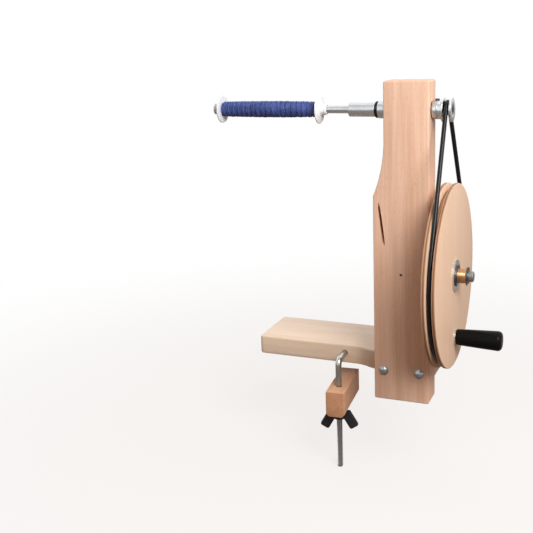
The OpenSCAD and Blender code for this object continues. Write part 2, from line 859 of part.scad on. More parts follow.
module yarn_core() {
    inner = barrel_d / 2 + near / 2;
    color(yarn_blue) on_spindle(pack_start) rotate_extrude() polygon(concat([[inner, 0]],
        [for (i = [0 : core_steps])
            [core_end_r + swell(i / core_steps), pack_l * i / core_steps]],
        [[inner, pack_l]]));
}

// Radius of the strand's middle line at a share of the pack's length
function wind_r(share) = core_end_r + near + strand_d / 2 + swell(share);

// Point on the strand's middle line after a number of turns; a share below 0 or
// above 1 runs straight on along the end's tangent
function wind_point(turn) =
    let (inside = max(0, min(yarn_turns, turn)),
        extra = turn - inside,
        share = inside / yarn_turns,
        r = wind_r(share),
        a = inside * 360,
        lead = wind_l / yarn_turns,
        z = wind_margin + strand_d / 2 + wind_l * share,
        run = extra * 2 * PI * r)
    [r * cos(a) - run * sin(a), r * sin(a) + run * cos(a), z + extra * lead];

straight_turn = strand_d / (2 * PI * wind_r(0));
wind_turns = concat([-straight_turn],
    [for (i = [0 : yarn_turns * rings_per_turn]) i / rings_per_turn],
    [yarn_turns + straight_turn]);
wind_points = [for (t = wind_turns) wind_point(t)];
wind_last = len(wind_points) - 1;

// Least clear distance between neighbouring turns of the strand
wind_gap = min([for (i = [0 : wind_last], j = [i + rings_per_turn / 2 : i + 3 * rings_per_turn / 2])
    j <= wind_last ? norm(wind_points[i] - wind_points[j]) : pack_l]) - strand_d;

// Ring of points about the middle line at index i, square to the strand
function strand_ring(i) =
    let (ahead = wind_points[min(wind_last, i + 1)],
        behind = wind_points[max(0, i - 1)],
        along = (ahead - behind) / norm(ahead - behind),
        flat = [wind_points[i][0], wind_points[i][1], 0],
        side_raw = cross(along, flat),
        side = side_raw / norm(side_raw),
        out = cross(side, along))
    [for (k = [0 : strand_sides - 1])
        wind_points[i] + strand_d / 2 * (cos(k * 360 / strand_sides) * out
            + sin(k * 360 / strand_sides) * side)];

module yarn_winding() {
    points = [for (i = [0 : wind_last]) each strand_ring(i)];
    sides = [for (i = [0 : wind_last - 1]) each skin(i, i + 1, strand_sides)];
    first_cap = [for (k = [1 : strand_sides - 2]) [0, k, k + 1]];
    base = wind_last * strand_sides;
    last_cap = [for (k = [1 : strand_sides - 2]) [base, base + k + 1, base + k]];
    color(yarn_blue) on_spindle(pack_start)
        polyhedron(points, concat(sides, first_cap, last_cap));
    echo(least_gap_between_turns_mm = wind_gap);
}

base_plate();
post();
post_screws();
bearing_outer_rings();
bearing_balls();
bearing_inner_rings();
spindle_shaft();
spindle_ring();
spindle_collar();
collar_grub_screw();
pulley();
pulley_grub_screw();
pulley_end_screw();
drive_belt();
drive_wheel();
wheel_bush();
wheel_washer();
bush_clip();
wheel_axle();
axle_spacer();
axle_clip();
axle_lock_pin();
handle_pin();
handle_nut();
handle_washer();
handle_grip();
hook_bolt();
clamp_block();
wing_nut();
wing_nut_insert();
bobbin();
yarn_core();
yarn_winding();
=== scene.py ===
"""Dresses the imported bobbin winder: finished meshes, procedural finishes, studio and camera.

Lengths are metres in the part's own frame: +X runs along the spindle towards the wheel, +Y away
from the operator and +Z up. The origin is the middle of the base plate's underside.
"""

from __future__ import annotations

import logging
import math
from dataclasses import dataclass
from enum import Enum
from typing import Any, Callable, Iterable, Mapping, Sequence, Union

import bmesh
import bpy
from bmesh.types import BMEdge, BMVert
from mathutils import Matrix, Vector, noise

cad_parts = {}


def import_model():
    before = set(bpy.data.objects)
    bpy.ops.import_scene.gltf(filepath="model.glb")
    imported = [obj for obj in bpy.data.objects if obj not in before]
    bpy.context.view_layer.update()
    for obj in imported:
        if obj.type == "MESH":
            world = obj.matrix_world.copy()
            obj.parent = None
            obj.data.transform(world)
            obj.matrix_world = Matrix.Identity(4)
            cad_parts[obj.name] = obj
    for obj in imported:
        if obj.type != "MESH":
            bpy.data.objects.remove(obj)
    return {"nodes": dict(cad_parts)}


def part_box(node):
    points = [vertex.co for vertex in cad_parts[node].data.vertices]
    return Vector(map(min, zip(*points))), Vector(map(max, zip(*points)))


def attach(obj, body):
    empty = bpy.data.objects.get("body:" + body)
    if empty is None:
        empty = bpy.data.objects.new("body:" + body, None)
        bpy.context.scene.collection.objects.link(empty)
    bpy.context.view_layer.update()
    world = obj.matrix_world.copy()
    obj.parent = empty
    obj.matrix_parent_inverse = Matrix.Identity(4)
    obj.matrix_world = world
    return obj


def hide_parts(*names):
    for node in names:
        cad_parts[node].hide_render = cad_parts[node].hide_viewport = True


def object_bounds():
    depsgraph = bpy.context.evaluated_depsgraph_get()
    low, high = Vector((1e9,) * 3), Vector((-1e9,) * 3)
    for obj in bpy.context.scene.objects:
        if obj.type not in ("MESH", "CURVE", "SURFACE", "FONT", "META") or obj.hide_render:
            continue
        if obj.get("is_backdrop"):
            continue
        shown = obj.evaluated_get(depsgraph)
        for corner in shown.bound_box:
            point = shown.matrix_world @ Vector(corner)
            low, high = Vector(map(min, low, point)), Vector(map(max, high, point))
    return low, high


LOG = logging.getLogger("bobbin_winder")
MM = 0.001
# Points closer than this are one point
WELD = 1e-6
# Angle in degrees past which an edge is shaded crisp
CRISP = 32.0
# How much longer a through cutter is than what it goes through
OVERCUT = 1.4
# Height and lean in degrees of the yarn slot in the post
SLOT_Z = 153 * MM
SLOT_LEAN = 7.5

Number = Union[int, float]
Operand = Union["Signal", Number]
Colour = tuple[float, float, float, float]
Triple = tuple[float, float, float]


class Axis(Enum):
    """A direction of the part's frame, with its place in a vector."""

    X = 0
    Y = 1
    Z = 2

    @property
    def letter(self) -> str:
        """The axis's name for rotations and for the sockets of Separate XYZ."""
        return "XYZ"[self.value]


class Signal:
    """A shader output that takes part in Python arithmetic."""

    def __init__(self, bench: "NodeBench", socket: bpy.types.NodeSocket) -> None:
        """Wraps one output socket of the bench's tree."""
        self.bench = bench
        self.socket = socket

    def _math(self, operation: str, first: Operand, second: Operand = 0.0) -> "Signal":
        """Adds a Math node.

        Args:
            operation: Name of the Math node's operation.
            first: Its first value.
            second: Its second value.

        Returns:
            The node's result.
        """
        made = self.bench.node("ShaderNodeMath", {"operation": operation}, {0: first, 1: second})
        return Signal(self.bench, made.outputs[0])

    def __add__(self, other: Operand) -> "Signal":
        """Sum of this signal and another value."""
        return self._math("ADD", self, other)

    __radd__ = __add__

    def __sub__(self, other: Operand) -> "Signal":
        """This signal less another value."""
        return self._math("SUBTRACT", self, other)

    def __rsub__(self, other: Operand) -> "Signal":
        """Another value less this signal."""
        return self._math("SUBTRACT", other, self)

    def __mul__(self, other: Operand) -> "Signal":
        """Product of this signal and another value."""
        return self._math("MULTIPLY", self, other)

    __rmul__ = __mul__

    def __abs__(self) -> "Signal":
        """This signal without its sign."""
        return self._math("ABSOLUTE", self)

    def wave(self) -> "Signal":
        """Sine of this signal."""
        return self._math("SINE", self)

    def above(self, limit: Number) -> "Signal":
        """One where this signal exceeds the limit, and zero elsewhere."""
        return self._math("GREATER_THAN", self, limit)

    def top(self, other: Operand) -> "Signal":
        """The larger of this signal and another value."""
        return self._math("MAXIMUM", self, other)


class NodeBench:
    """Adds nodes to one tree: settings first, then values and links."""

    def __init__(self, tree: bpy.types.NodeTree) -> None:
        """Starts from an empty tree."""
        self.tree = tree
        self.tree.nodes.clear()

    def node(
        self,
        kind: str,
        settings: Mapping[str, Any] | None = None,
        inputs: Mapping[str | int, Any] | None = None,
    ) -> bpy.types.Node:
        """Adds any node.

        Args:
            kind: The node's type.
            settings: Its properties; stops holds a ramp's positions and colours.
            inputs: Values or signals for its sockets, by name or number.

        Returns:
            The new node.
        """
        made = self.tree.nodes.new(kind)
        for key, value in (settings or {}).items():
            if key == "stops":
                self._set_stops(made.color_ramp, value)
            else:
                setattr(made, key, value)
        for key, value in (inputs or {}).items():
            self.feed(made.inputs[key], value)
        return made

    @staticmethod
    def _set_stops(ramp: bpy.types.ColorRamp, stops: Sequence[tuple[float, Colour]]) -> None:
        """Gives a ramp its stops.

        Args:
            ramp: The ramp of a new node.
            stops: The position and the colour of each stop.
        """
        while len(ramp.elements) < len(stops):
            ramp.elements.new(1.0)
        for element, (position, colour) in zip(ramp.elements, stops):
            element.position = position
            element.color = colour

    def feed(self, socket: bpy.types.NodeSocket, value: Any) -> None:
        """Links a signal to a socket, or sets a plain value on it.

        Args:
            socket: An input of one of the tree's nodes.
            value: The signal or the plain value.
        """
        if isinstance(value, Signal):
            self.tree.links.new(value.socket, socket)
        else:
            socket.default_value = value

    def output(self, kind: str, shader: bpy.types.Node) -> None:
        """Ends the tree: links a shader to a new output node of a kind."""
        self.feed(self.node(kind).inputs["Surface"], Signal(self, shader.outputs[0]))

    def place(self, scale: Sequence[float] = (1, 1, 1), offset: float = 0.0) -> Signal:
        """Object coordinates through a Mapping node.

        Args:
            scale: Factor on each axis.
            offset: Move along all three axes, after the factor.

        Returns:
            The mapped coordinates.
        """
        coordinates = self.node("ShaderNodeTexCoord").outputs["Object"]
        mapped = self.node(
            "ShaderNodeMapping",
            {"vector_type": "POINT"},
            {"Vector": Signal(self, coordinates), "Scale": scale, "Location": [offset] * 3},
        )
        return Signal(self, mapped.outputs[0])

    def part(self, vector: Signal, axis: Axis) -> Signal:
        """One component of a vector."""
        split = self.node("ShaderNodeSeparateXYZ", None, {0: vector})
        return Signal(self, split.outputs[axis.letter])

    def facing(self, axis: Axis) -> Signal:
        """How squarely the surface faces along an axis, from 0 to 1."""
        normal = Signal(self, self.node("ShaderNodeTexCoord").outputs["Normal"])
        return abs(self.part(normal, axis))

    def length(self, vector: Signal) -> Signal:
        """Length of a vector."""
        made = self.node("ShaderNodeVectorMath", {"operation": "LENGTH"}, {0: vector})
        return Signal(self, made.outputs["Value"])

    def ray(self, kind: str) -> Signal:
        """One where a ray is of a kind, by the name of Light Path's socket."""
        return Signal(self, self.node("ShaderNodeLightPath").outputs[kind])

    def cloud(self, where: Signal, detail: float = 2.0, twist: float = 0.0) -> Signal:
        """Noise texture with one lump to a unit.

        Args:
            where: Coordinates.
            detail: Number of finer octaves.
            twist: Distortion of the lumps.

        Returns:
            A value around 0.5.
        """
        made = self.node(
            "ShaderNodeTexNoise",
            {"noise_dimensions": "3D"},
            {"Vector": where, "Scale": 1.0, "Detail": detail, "Distortion": twist},
        )
        return Signal(self, made.outputs[0])

    def rise(self, value: Signal, low: float, high: float) -> Signal:
        """Smooth step.

        Args:
            value: The signal that is followed.
            low: Where the step starts.
            high: Where the step ends.

        Returns:
            Zero up to low, one from high on.
        """
        made = self.node(
            "ShaderNodeMapRange",
            {"interpolation_type": "SMOOTHSTEP"},
            {"Value": value, "From Min": low, "From Max": high},
        )
        return Signal(self, made.outputs[0])

    def ramp(self, value: Signal, stops: Sequence[tuple[float, Colour]]) -> Signal:
        """Colour ramp over a value."""
        made = self.node("ShaderNodeValToRGB", {"stops": stops}, {0: value})
        return Signal(self, made.outputs[0])

    def mix(self, share: Operand, first: Any, second: Any, blend: str = "MIX") -> Signal:
        """Mixes two colours.

        Args:
            share: How much of the second colour shows.
            first: The first colour or signal.
            second: The second colour or signal.
            blend: The way in which they mix.

        Returns:
            The mixed colour.
        """
        made = self.node(
            "ShaderNodeMix",
            {"data_type": "RGBA", "blend_type": blend},
            {0: share, 6: first, 7: second},
        )
        return Signal(self, made.outputs[2])

    def bump(self, height: Signal, strength: float, distance: float) -> Signal:
        """Bump node.

        Args:
            height: Height from 0 to 1.
            strength: Share of the bump that shows.
            distance: Height in metres that a value of 1 stands for.

        Returns:
            The bent normal.
        """
        made = self.node(
            "ShaderNodeBump", None, {"Height": height, "Strength": strength, "Distance": distance}
        )
        return Signal(self, made.outputs[0])


def rgb(red: float, green: float, blue: float) -> Colour:
    """An opaque linear colour."""
    return (red, green, blue, 1.0)


def shade(colour: Colour, share: float) -> Colour:
    """An opaque colour at a share of another's brightness."""
    return rgb(*(channel * share for channel in colour[:3]))


def linear(value: int) -> float:
    """Undoes the display's gamma for one channel of 0 to 255."""
    share = value / 255
    return share / 12.92 if share <= 0.04045 else ((share + 0.055) / 1.055) ** 2.4


def screen(red: int, green: int, blue: int) -> Colour:
    """An opaque linear colour from display values of 0 to 255."""
    return rgb(linear(red), linear(green), linear(blue))


@dataclass(frozen=True)
class Finish:
    """A surface finish: its name and the record's slot that it belongs to."""

    name: str
    slot: str

    def make(self) -> bpy.types.Material:
        """Builds the material.

        Returns:
            The material, with its Principled shader dressed.
        """
        material = bpy.data.materials.new(self.name)
        material.use_nodes = True
        bench = NodeBench(material.node_tree)
        shader = bench.node("ShaderNodeBsdfPrincipled")
        bench.output("ShaderNodeOutputMaterial", shader)
        for socket, value in self.dress(bench).items():
            bench.feed(shader.inputs[socket], value)
        return material

    def dress(self, bench: NodeBench) -> dict[str, Any]:
        """Values and signals for the Principled shader's sockets."""
        raise NotImplementedError


@dataclass(frozen=True)
class Beech(Finish):
    """Oiled straight-grained beech, with soft bands, fine streaks, pores and ray flecks.

    A streak, a pore and a ray each have a size across the grain and one along it.
    """

    pale: Colour
    deep: Colour
    grain: Axis
    band_width: float = 7 * MM
    band_length: float = 220 * MM
    band_share: float = 0.55
    streak: tuple[float, float] = (1.3 * MM, 60 * MM)
    pore: tuple[float, float] = (0.35 * MM, 7 * MM)
    ray: tuple[float, float] = (0.7 * MM, 4.5 * MM)
    ray_share: float = 0.28
    ray_shade: float = 0.62
    end_share: float = 0.35
    roughness: float = 0.5
    rough_spread: float = 0.22
    gloss: float = 0.35
    relief: float = 0.12 * MM
    offset: float = 0.0

    def along(self, bench: NodeBench, across: float, lengthwise: float) -> Signal:
        """Coordinates stretched along the grain.

        Args:
            bench: Where the nodes go.
            across: Size of a feature across the grain.
            lengthwise: Its size along the grain.

        Returns:
            Coordinates in which that feature is one unit.
        """
        scale = [1 / across] * 3
        scale[self.grain.value] = 1 / lengthwise
        return bench.place(scale, self.offset)

    def dress(self, bench: NodeBench) -> dict[str, Any]:
        """Wood colour, sheen and pores.

        Args:
            bench: Where the nodes go.

        Returns:
            Values and signals by socket.
        """
        bands = bench.cloud(self.along(bench, self.band_width, self.band_length), twist=0.3)
        streaks = bench.cloud(self.along(bench, *self.streak), detail=3.0)
        pores = bench.cloud(self.along(bench, *self.pore), detail=1.0)
        rays = bench.cloud(self.along(bench, *self.ray), detail=0.0)
        tone = bands * self.band_share + streaks * (1 - self.band_share)
        colour = bench.ramp(tone, [(0.36, self.deep), (0.64, self.pale)])
        flecks = bench.rise(rays, 0.66, 0.78) * self.ray_share
        colour = bench.mix(flecks, colour, shade(self.deep, self.ray_shade))
        end_grain = bench.rise(bench.facing(self.grain), 0.55, 0.9) * self.end_share
        return {
            "Base Color": bench.mix(end_grain, colour, self.deep, "MULTIPLY"),
            "Roughness": self.roughness + (streaks - 0.5) * self.rough_spread,
            "Specular IOR Level": self.gloss,
            "Normal": bench.bump(streaks * 0.5 + pores * 0.5, 0.35, self.relief),
        }


@dataclass(frozen=True)
class SlottedBeech(Beech):
    """Beech with a narrow sawn slot whose inside is painted dark brown as shade."""

    slot_x: float = 49 * MM
    slot_half: float = 1.7 * MM
    slot_reach: float = 23 * MM
    slot_depth: float = 9 * MM
    slot_fade: tuple[float, float] = (0.1 * MM, 1.2 * MM)
    front: float = -68.5 * MM
    # Dark brown painted inside the slot as its shade
    painted_slot_shade: Colour = rgb(0.42, 0.2, 0.09)

    def dress(self, bench: NodeBench) -> dict[str, Any]:
        """Wood colour, with painted shade inside the slot.

        Args:
            bench: Where the nodes go.

        Returns:
            Values and signals by socket.
        """
        sockets = super().dress(bench)
        place = bench.place()
        above = bench.part(place, Axis.Z) - SLOT_Z
        across = bench.part(place, Axis.X) + above * math.tan(math.radians(SLOT_LEAN))
        depth = bench.part(place, Axis.Y) - self.front
        # Painted shade: the slot's inside turns dark brown within its first millimetre of depth
        inside = bench.rise(depth, *self.slot_fade) * (1 - depth.above(self.slot_depth))
        inside = inside * (1 - abs(across - self.slot_x).above(self.slot_half))
        inside = inside * (1 - abs(above).above(self.slot_reach))
        sockets["Base Color"] = bench.mix(inside, sockets["Base Color"], self.painted_slot_shade)
        return sockets


@dataclass(frozen=True)
class WheelPly(Beech):
    """Turned plywood: quiet veneer on the faces and thin plies round the rim, whose colours are
    darkened further as painted shade.
    """

    ply: float = 1.43 * MM
    wobble: float = 0.9
    wobble_scale: Triple = (260, 90, 90)
    grime_scale: Triple = (700, 160, 160)
    # Ply colours of the rim: real ply lines, made darker to paint in the rim's shade
    rim_pale_with_shade: Colour = rgb(0.5, 0.28, 0.16)
    rim_deep_with_shade: Colour = rgb(0.22, 0.11, 0.06)

    def dress(self, bench: NodeBench) -> dict[str, Any]:
        """Veneer colour on the faces, and ply lines elsewhere in colours darkened as painted shade.

        Args:
            bench: Where the nodes go.

        Returns:
            Values and signals by socket.
        """
        sockets = super().dress(bench)
        place = bench.part(bench.place(), Axis.X)
        wobble = bench.cloud(bench.place(self.wobble_scale)) * self.wobble
        layer = (place * (math.pi / self.ply) + wobble).wave()
        grime = bench.cloud(bench.place(self.grime_scale), detail=3.0)
        lines = bench.rise(layer * 0.5 + grime * 0.5, 0.0, 0.55)
        rim = bench.mix(lines, self.rim_deep_with_shade, self.rim_pale_with_shade)
        face = bench.rise(bench.facing(Axis.X), 0.7, 0.93)
        sockets["Base Color"] = bench.mix(face, rim, sockets["Base Color"])
        return sockets


@dataclass(frozen=True)
class Metal(Finish):
    """Bare or plated metal with fine tool lines across one axis and faint tarnish."""

    colour: Colour
    roughness: float
    lines: Axis = Axis.X
    line_pitch: float = 0.22 * MM
    line_scale: float = 90
    line_depth: float = 0.01 * MM
    stain_scale: float = 160
    stain_share: float = 0.25
    stain_shade: float = 0.55

    def dress(self, bench: NodeBench) -> dict[str, Any]:
        """Metal colour, tool lines and tarnish.

        Args:
            bench: Where the nodes go.

        Returns:
            Values and signals by socket.
        """
        scale = [self.line_scale] * 3
        scale[self.lines.value] = 1 / self.line_pitch
        tool = bench.cloud(bench.place(scale))
        tarnish = bench.cloud(bench.place([self.stain_scale] * 3), detail=4.0)
        spots = bench.rise(tarnish, 0.45, 0.75)
        stain = shade(self.colour, self.stain_shade)
        return {
            "Base Color": bench.mix(spots * self.stain_share, self.colour, stain),
            "Metallic": 1.0,
            "Roughness": self.roughness + (tool - 0.5) * 0.18 + spots * 0.08,
            "Normal": bench.bump(tool, 0.5, self.line_depth),
        }


@dataclass(frozen=True)
class Plastic(Finish):
    """Moulded plastic or rubber: an even colour with a faint skin texture and handling marks."""

    colour: Colour
    worn: Colour
    roughness: float
    gloss: float
    skin: float = 0.6 * MM
    skin_depth: float = 0.015 * MM
    wear_scale: float = 140
    wear_share: float = 0.3

    def dress(self, bench: NodeBench) -> dict[str, Any]:
        """Plastic colour, skin and dull patches.

        Args:
            bench: Where the nodes go.

        Returns:
            Values and signals by socket.
        """
        skin = bench.cloud(bench.place([1 / self.skin] * 3), detail=3.0)
        patches = bench.cloud(bench.place([self.wear_scale] * 3), detail=5.0)
        marks = bench.rise(patches, 0.48, 0.72)
        return {
            "Base Color": bench.mix(marks * self.wear_share, self.colour, self.worn),
            "Roughness": self.roughness + marks * 0.1 + (skin - 0.5) * 0.08,
            "Specular IOR Level": self.gloss,
            "Normal": bench.bump(skin, 0.4, self.skin_depth),
        }


@dataclass(frozen=True)
class Yarn(Finish):
    """Plied yarn: dark and light fibres that wander, under a soft bloom."""

    dark: Colour
    light: Colour
    fibre_scale: Triple = (2600, 1500, 1500)
    fibre_share: float = 0.6
    fibre_depth: float = 0.15 * MM
    patch_scale: Triple = (130, 220, 220)
    roughness: float = 0.62
    bloom: float = 0.35

    def dress(self, bench: NodeBench) -> dict[str, Any]:
        """Fibre colour and lumps.

        Args:
            bench: Where the nodes go.

        Returns:
            Values and signals by socket.
        """
        fibres = bench.cloud(bench.place(self.fibre_scale))
        patches = bench.cloud(bench.place(self.patch_scale))
        tone = fibres * self.fibre_share + patches * (1 - self.fibre_share)
        return {
            "Base Color": bench.ramp(tone, [(0.34, self.dark), (0.66, self.light)]),
            "Roughness": self.roughness + (fibres - 0.5) * 0.2,
            "Sheen Weight": self.bloom,
            "Sheen Roughness": 0.4,
            "Sheen Tint": self.light,
            "Normal": bench.bump(fibres, 0.7, self.fibre_depth),
        }


FINISHES: dict[str, Finish] = {
    finish.name: finish
    for finish in (
        SlottedBeech(
            "post_beech", "beech", screen(241, 201, 175), screen(222, 176, 146), Axis.Z, offset=3.7
        ),
        Beech(
            "base_beech", "beech_base", screen(245, 221, 198), screen(234, 205, 178), Axis.X,
            band_width=9 * MM, roughness=0.44, gloss=0.5, offset=1.3,
        ),
        # Beech darker than the post's: partly its own tone, partly painted shade from the bench
        # above it
        Beech(
            "block_beech_shaded", "beech", screen(226, 178, 143), screen(206, 158, 123), Axis.Y, offset=8.1
        ),
        WheelPly(
            "wheel_ply", "wheel_ply", screen(234, 200, 172), screen(227, 191, 162), Axis.Z,
            band_width=16 * MM, band_share=0.8, offset=5.2,
        ),
        Metal("turned_steel", "bright_steel", rgb(0.5, 0.51, 0.52), 0.27),
        # Bright steel at a lower tone on the hook's rod, as a painted dark reflection
        Metal("rod_steel_shaded", "bright_steel", rgb(0.4, 0.4, 0.39), 0.2, Axis.Z),
        Metal("axle_steel", "bright_steel", rgb(0.26, 0.26, 0.26), 0.34),
        Metal("bright_zinc", "zinc", rgb(0.58, 0.6, 0.61), 0.22),
        Metal("dull_zinc", "zinc", rgb(0.3, 0.31, 0.32), 0.32),
        Metal("spring_steel", "dark_steel", rgb(0.1, 0.1, 0.105), 0.4),
        Metal("turned_bronze", "bronze", rgb(0.5, 0.26, 0.13), 0.3, line_pitch=0.4 * MM),
        Plastic(
            "gloss_black", "black_plastic", rgb(0.006, 0.006, 0.006), rgb(0.007, 0.007, 0.007),
            0.16, 0.04,
        ),
        Plastic(
            "matte_black", "matte_black", rgb(0.012, 0.012, 0.012), rgb(0.03, 0.03, 0.03),
            0.5, 0.3, skin_depth=0.05 * MM,
        ),
        Plastic(
            "belt_rubber", "rubber", rgb(0.008, 0.008, 0.009), rgb(0.01, 0.01, 0.01), 0.17, 0.16
        ),
        Plastic(
            "white_plastic", "white_plastic", screen(234, 235, 238), screen(222, 224, 228),
            0.34, 0.4,
        ),
        Yarn("navy_yarn", "yarn", screen(18, 25, 70), screen(76, 97, 168)),
    )
}

# CAD nodes that show as they are, with the finish that each one gets
NODE_FINISHES: dict[str, str] = {
    "post_screws": "dull_zinc",
    "bearing_outer_rings": "turned_steel",
    "bearing_balls": "turned_steel",
    "bearing_inner_rings": "turned_steel",
    "spindle_ring": "belt_rubber",
    "collar_grub_screw": "spring_steel",
    "pulley_grub_screw": "spring_steel",
    "pulley_end_screw": "spring_steel",
    "wheel_washer": "bright_zinc",
    "bush_clip": "spring_steel",
    "wheel_axle": "axle_steel",
    "axle_spacer": "turned_steel",
    "axle_clip": "spring_steel",
    "axle_lock_pin": "spring_steel",
    "handle_pin": "turned_steel",
    "handle_nut": "bright_zinc",
    "handle_washer": "bright_zinc",
    "wing_nut_insert": "turned_steel",
}


def at(x: float, y: float, z: float) -> Matrix:
    """A move without a turn."""
    return Matrix.Translation((x, y, z))


def turn(degrees: float, axis: Axis) -> Matrix:
    """A turn about one axis of the frame."""
    return Matrix.Rotation(math.radians(degrees), 4, axis.letter)


def picked(geometry: Iterable[Any], kind: type) -> list[Any]:
    """The items of one kind in an operator's result."""
    return [item for item in geometry if isinstance(item, kind)]


def span(edge: BMEdge, axis: Axis) -> float:
    """How far an edge reaches along an axis."""
    first, second = (vert.co[axis.value] for vert in edge.verts)
    return abs(first - second)


@dataclass(frozen=True)
class Corner:
    """A corner of a turned profile: place along the axis, radius, and how far it is eased."""

    along: float
    radius: float
    ease: float = 0.0


class Workpiece:
    """A mesh under construction, shaped by bmesh operators."""

    def __init__(self) -> None:
        """Starts with no geometry."""
        self.bm = bmesh.new()

    def everything(self) -> list[Any]:
        """All vertices, edges and faces."""
        return [*self.bm.verts, *self.bm.edges, *self.bm.faces]

    def outline(
        self, points: Iterable[Vector], eases: Sequence[float] = (), segments: int = 6
    ) -> None:
        """Adds one flat face and eases its corners.

        Args:
            points: The corners in order.
            eases: How far each corner is rounded, in the same order.
            segments: Number of steps in each rounding.
        """
        corners = [self.bm.verts.new(point) for point in points]
        self.bm.faces.new(corners)
        for corner, ease in zip(corners, eases):
            if ease > 0:
                bmesh.ops.bevel(
                    self.bm, geom=[corner], offset=ease, offset_type="OFFSET", segments=segments,
                    profile=0.5, affect="VERTICES", clamp_overlap=False, material=-1,
                )

    def add_box(self, centre: Matrix, size: Triple) -> None:
        """Adds a box of a size about a place."""
        bmesh.ops.create_cube(self.bm, size=1.0, matrix=centre @ Matrix.Diagonal((*size, 1)))

    def add_ring(self, radius: float, place: Matrix, sides: int, filled: bool) -> list[BMEdge]:
        """Starts a rod or a belt with a ring of edges.

        Args:
            radius: The ring's radius.
            place: Where its middle goes; the ring lies across the local Z axis.
            sides: Number of edges.
            filled: Whether a face closes it.

        Returns:
            The ring's edges.
        """
        bmesh.ops.create_circle(
            self.bm, cap_ends=filled, segments=sides, radius=radius, matrix=place
        )
        return self.bm.edges[:]

    def extrude(self, move: Vector) -> None:
        """Pulls every face out into a solid.

        Args:
            move: From the faces to their far side.
        """
        base = self.bm.faces[:]
        made = bmesh.ops.extrude_face_region(self.bm, geom=base, use_keep_orig=True)["geom"]
        bmesh.ops.translate(self.bm, verts=picked(made, BMVert), vec=move)
        self.close()

    def pull(self, ring: Sequence[BMEdge], move: Vector, grow: float = 1.0) -> list[BMEdge]:
        """Extrudes a ring of edges.

        Args:
            ring: The edges that are pulled.
            move: How far they move.
            grow: Factor on the new ring's size.

        Returns:
            The edges of the new ring.
        """
        made = bmesh.ops.extrude_edge_only(self.bm, edges=ring)["geom"]
        verts = picked(made, BMVert)
        bmesh.ops.translate(self.bm, verts=verts, vec=move)
        centre = sum((vert.co for vert in verts), Vector()) / len(verts)
        bmesh.ops.scale(self.bm, verts=verts, vec=[grow] * 3, space=Matrix.Translation(-centre))
        fresh = set(verts)
        return [edge for edge in picked(made, BMEdge) if fresh.issuperset(edge.verts)]

    def sweep(
        self, ring: Sequence[BMEdge], centre: Vector, angle: float, steps: int
    ) -> list[BMEdge]:
        """Sweeps a ring of edges about an axis along X.

        Args:
            ring: The edges that are swept.
            centre: A point on the axis.
            angle: How far they turn.
            steps: Number of steps.

        Returns:
            The edges of the last ring.
        """
        verts = dict.fromkeys(vert for edge in ring for vert in edge.verts)
        made = bmesh.ops.spin(
            self.bm, geom=[*verts, *ring], cent=centre, axis=(1, 0, 0), dvec=(0, 0, 0),
            angle=angle, steps=steps, use_merge=False, use_duplicate=False,
        )
        return picked(made["geom_last"], BMEdge)

    def ease_edges(self, test: Callable[[BMEdge], bool], width: float, segments: int = 3) -> None:
        """Rounds the edges that pass a test.

        Args:
            test: Says whether an edge is rounded.
            width: How far the rounding reaches on each side.
            segments: Number of steps in the rounding.
        """
        edges = [edge for edge in self.bm.edges if test(edge)]
        bmesh.ops.bevel(
            self.bm, geom=edges, offset=width, offset_type="OFFSET", segments=segments,
            profile=0.5, affect="EDGES", clamp_overlap=True, material=-1,
        )

    def spin_profile(self, steps: int) -> None:
        """Turns the outline face about the X axis into a closed solid.

        Args:
            steps: Number of steps round the axis.
        """
        bmesh.ops.delete(self.bm, geom=self.bm.faces[:], context="FACES_ONLY")
        on_axis = [edge for edge in self.bm.edges if all(vert.co.z < WELD for vert in edge.verts)]
        bmesh.ops.delete(self.bm, geom=on_axis, context="EDGES")
        bmesh.ops.spin(
            self.bm, geom=self.everything(), cent=(0, 0, 0), axis=(1, 0, 0), dvec=(0, 0, 0),
            angle=math.tau, steps=steps, use_merge=True, use_duplicate=False,
        )
        self.close()

    def close(self) -> None:
        """Merges doubles and turns all faces outwards."""
        bmesh.ops.remove_doubles(self.bm, verts=self.bm.verts[:], dist=WELD)
        bmesh.ops.recalc_face_normals(self.bm, faces=self.bm.faces[:])

    def move(self, matrix: Matrix) -> None:
        """Moves all geometry by a matrix."""
        bmesh.ops.transform(self.bm, matrix=matrix, verts=self.bm.verts[:])

    def join(self, mesh: bpy.types.Mesh) -> None:
        """Takes in a mesh's geometry and removes the mesh."""
        self.bm.from_mesh(mesh)
        bpy.data.meshes.remove(mesh)

    def to_mesh(self, name: str) -> bpy.types.Mesh:
        """Ends the work.

        Args:
            name: The mesh's name.

        Returns:
            The geometry as a mesh.
        """
        mesh = bpy.data.meshes.new(name)
        self.bm.to_mesh(mesh)
        self.bm.free()
        return mesh

    def to_object(self, name: str, crisp: float = CRISP) -> bpy.types.Object:
        """Makes the finished object.

        Args:
            name: The piece's name.
            crisp: Angle in degrees past which an edge is shaded crisp.

        Returns:
            The object, at the origin, linked to the scene.
        """
        made = bpy.data.objects.new(name, self.to_mesh(name))
        bpy.context.scene.collection.objects.link(made)
        soften(made, crisp)
        return made


def soften(piece: bpy.types.Object, crisp: float = CRISP) -> None:
    """Shades a piece smooth, with crisp edges past an angle in degrees."""
    piece.data.shade_smooth()
    piece.data.set_sharp_from_angle(angle=math.radians(crisp))


def turned(corners: Sequence[Corner], place: Matrix, steps: int = 96) -> Workpiece:
    """Turns a closed profile about the X axis and moves it into place.

    Args:
        corners: The profile, from one end to the other; ends on the axis have no radius.
        place: Where the turned solid goes.
        steps: Number of steps round the axis.

    Returns:
        The turned workpiece.
    """
    work = Workpiece()
    work.outline((Vector((c.along, 0, c.radius)) for c in corners), [c.ease for c in corners], 4)
    work.spin_profile(steps)
    work.move(place)
    return work


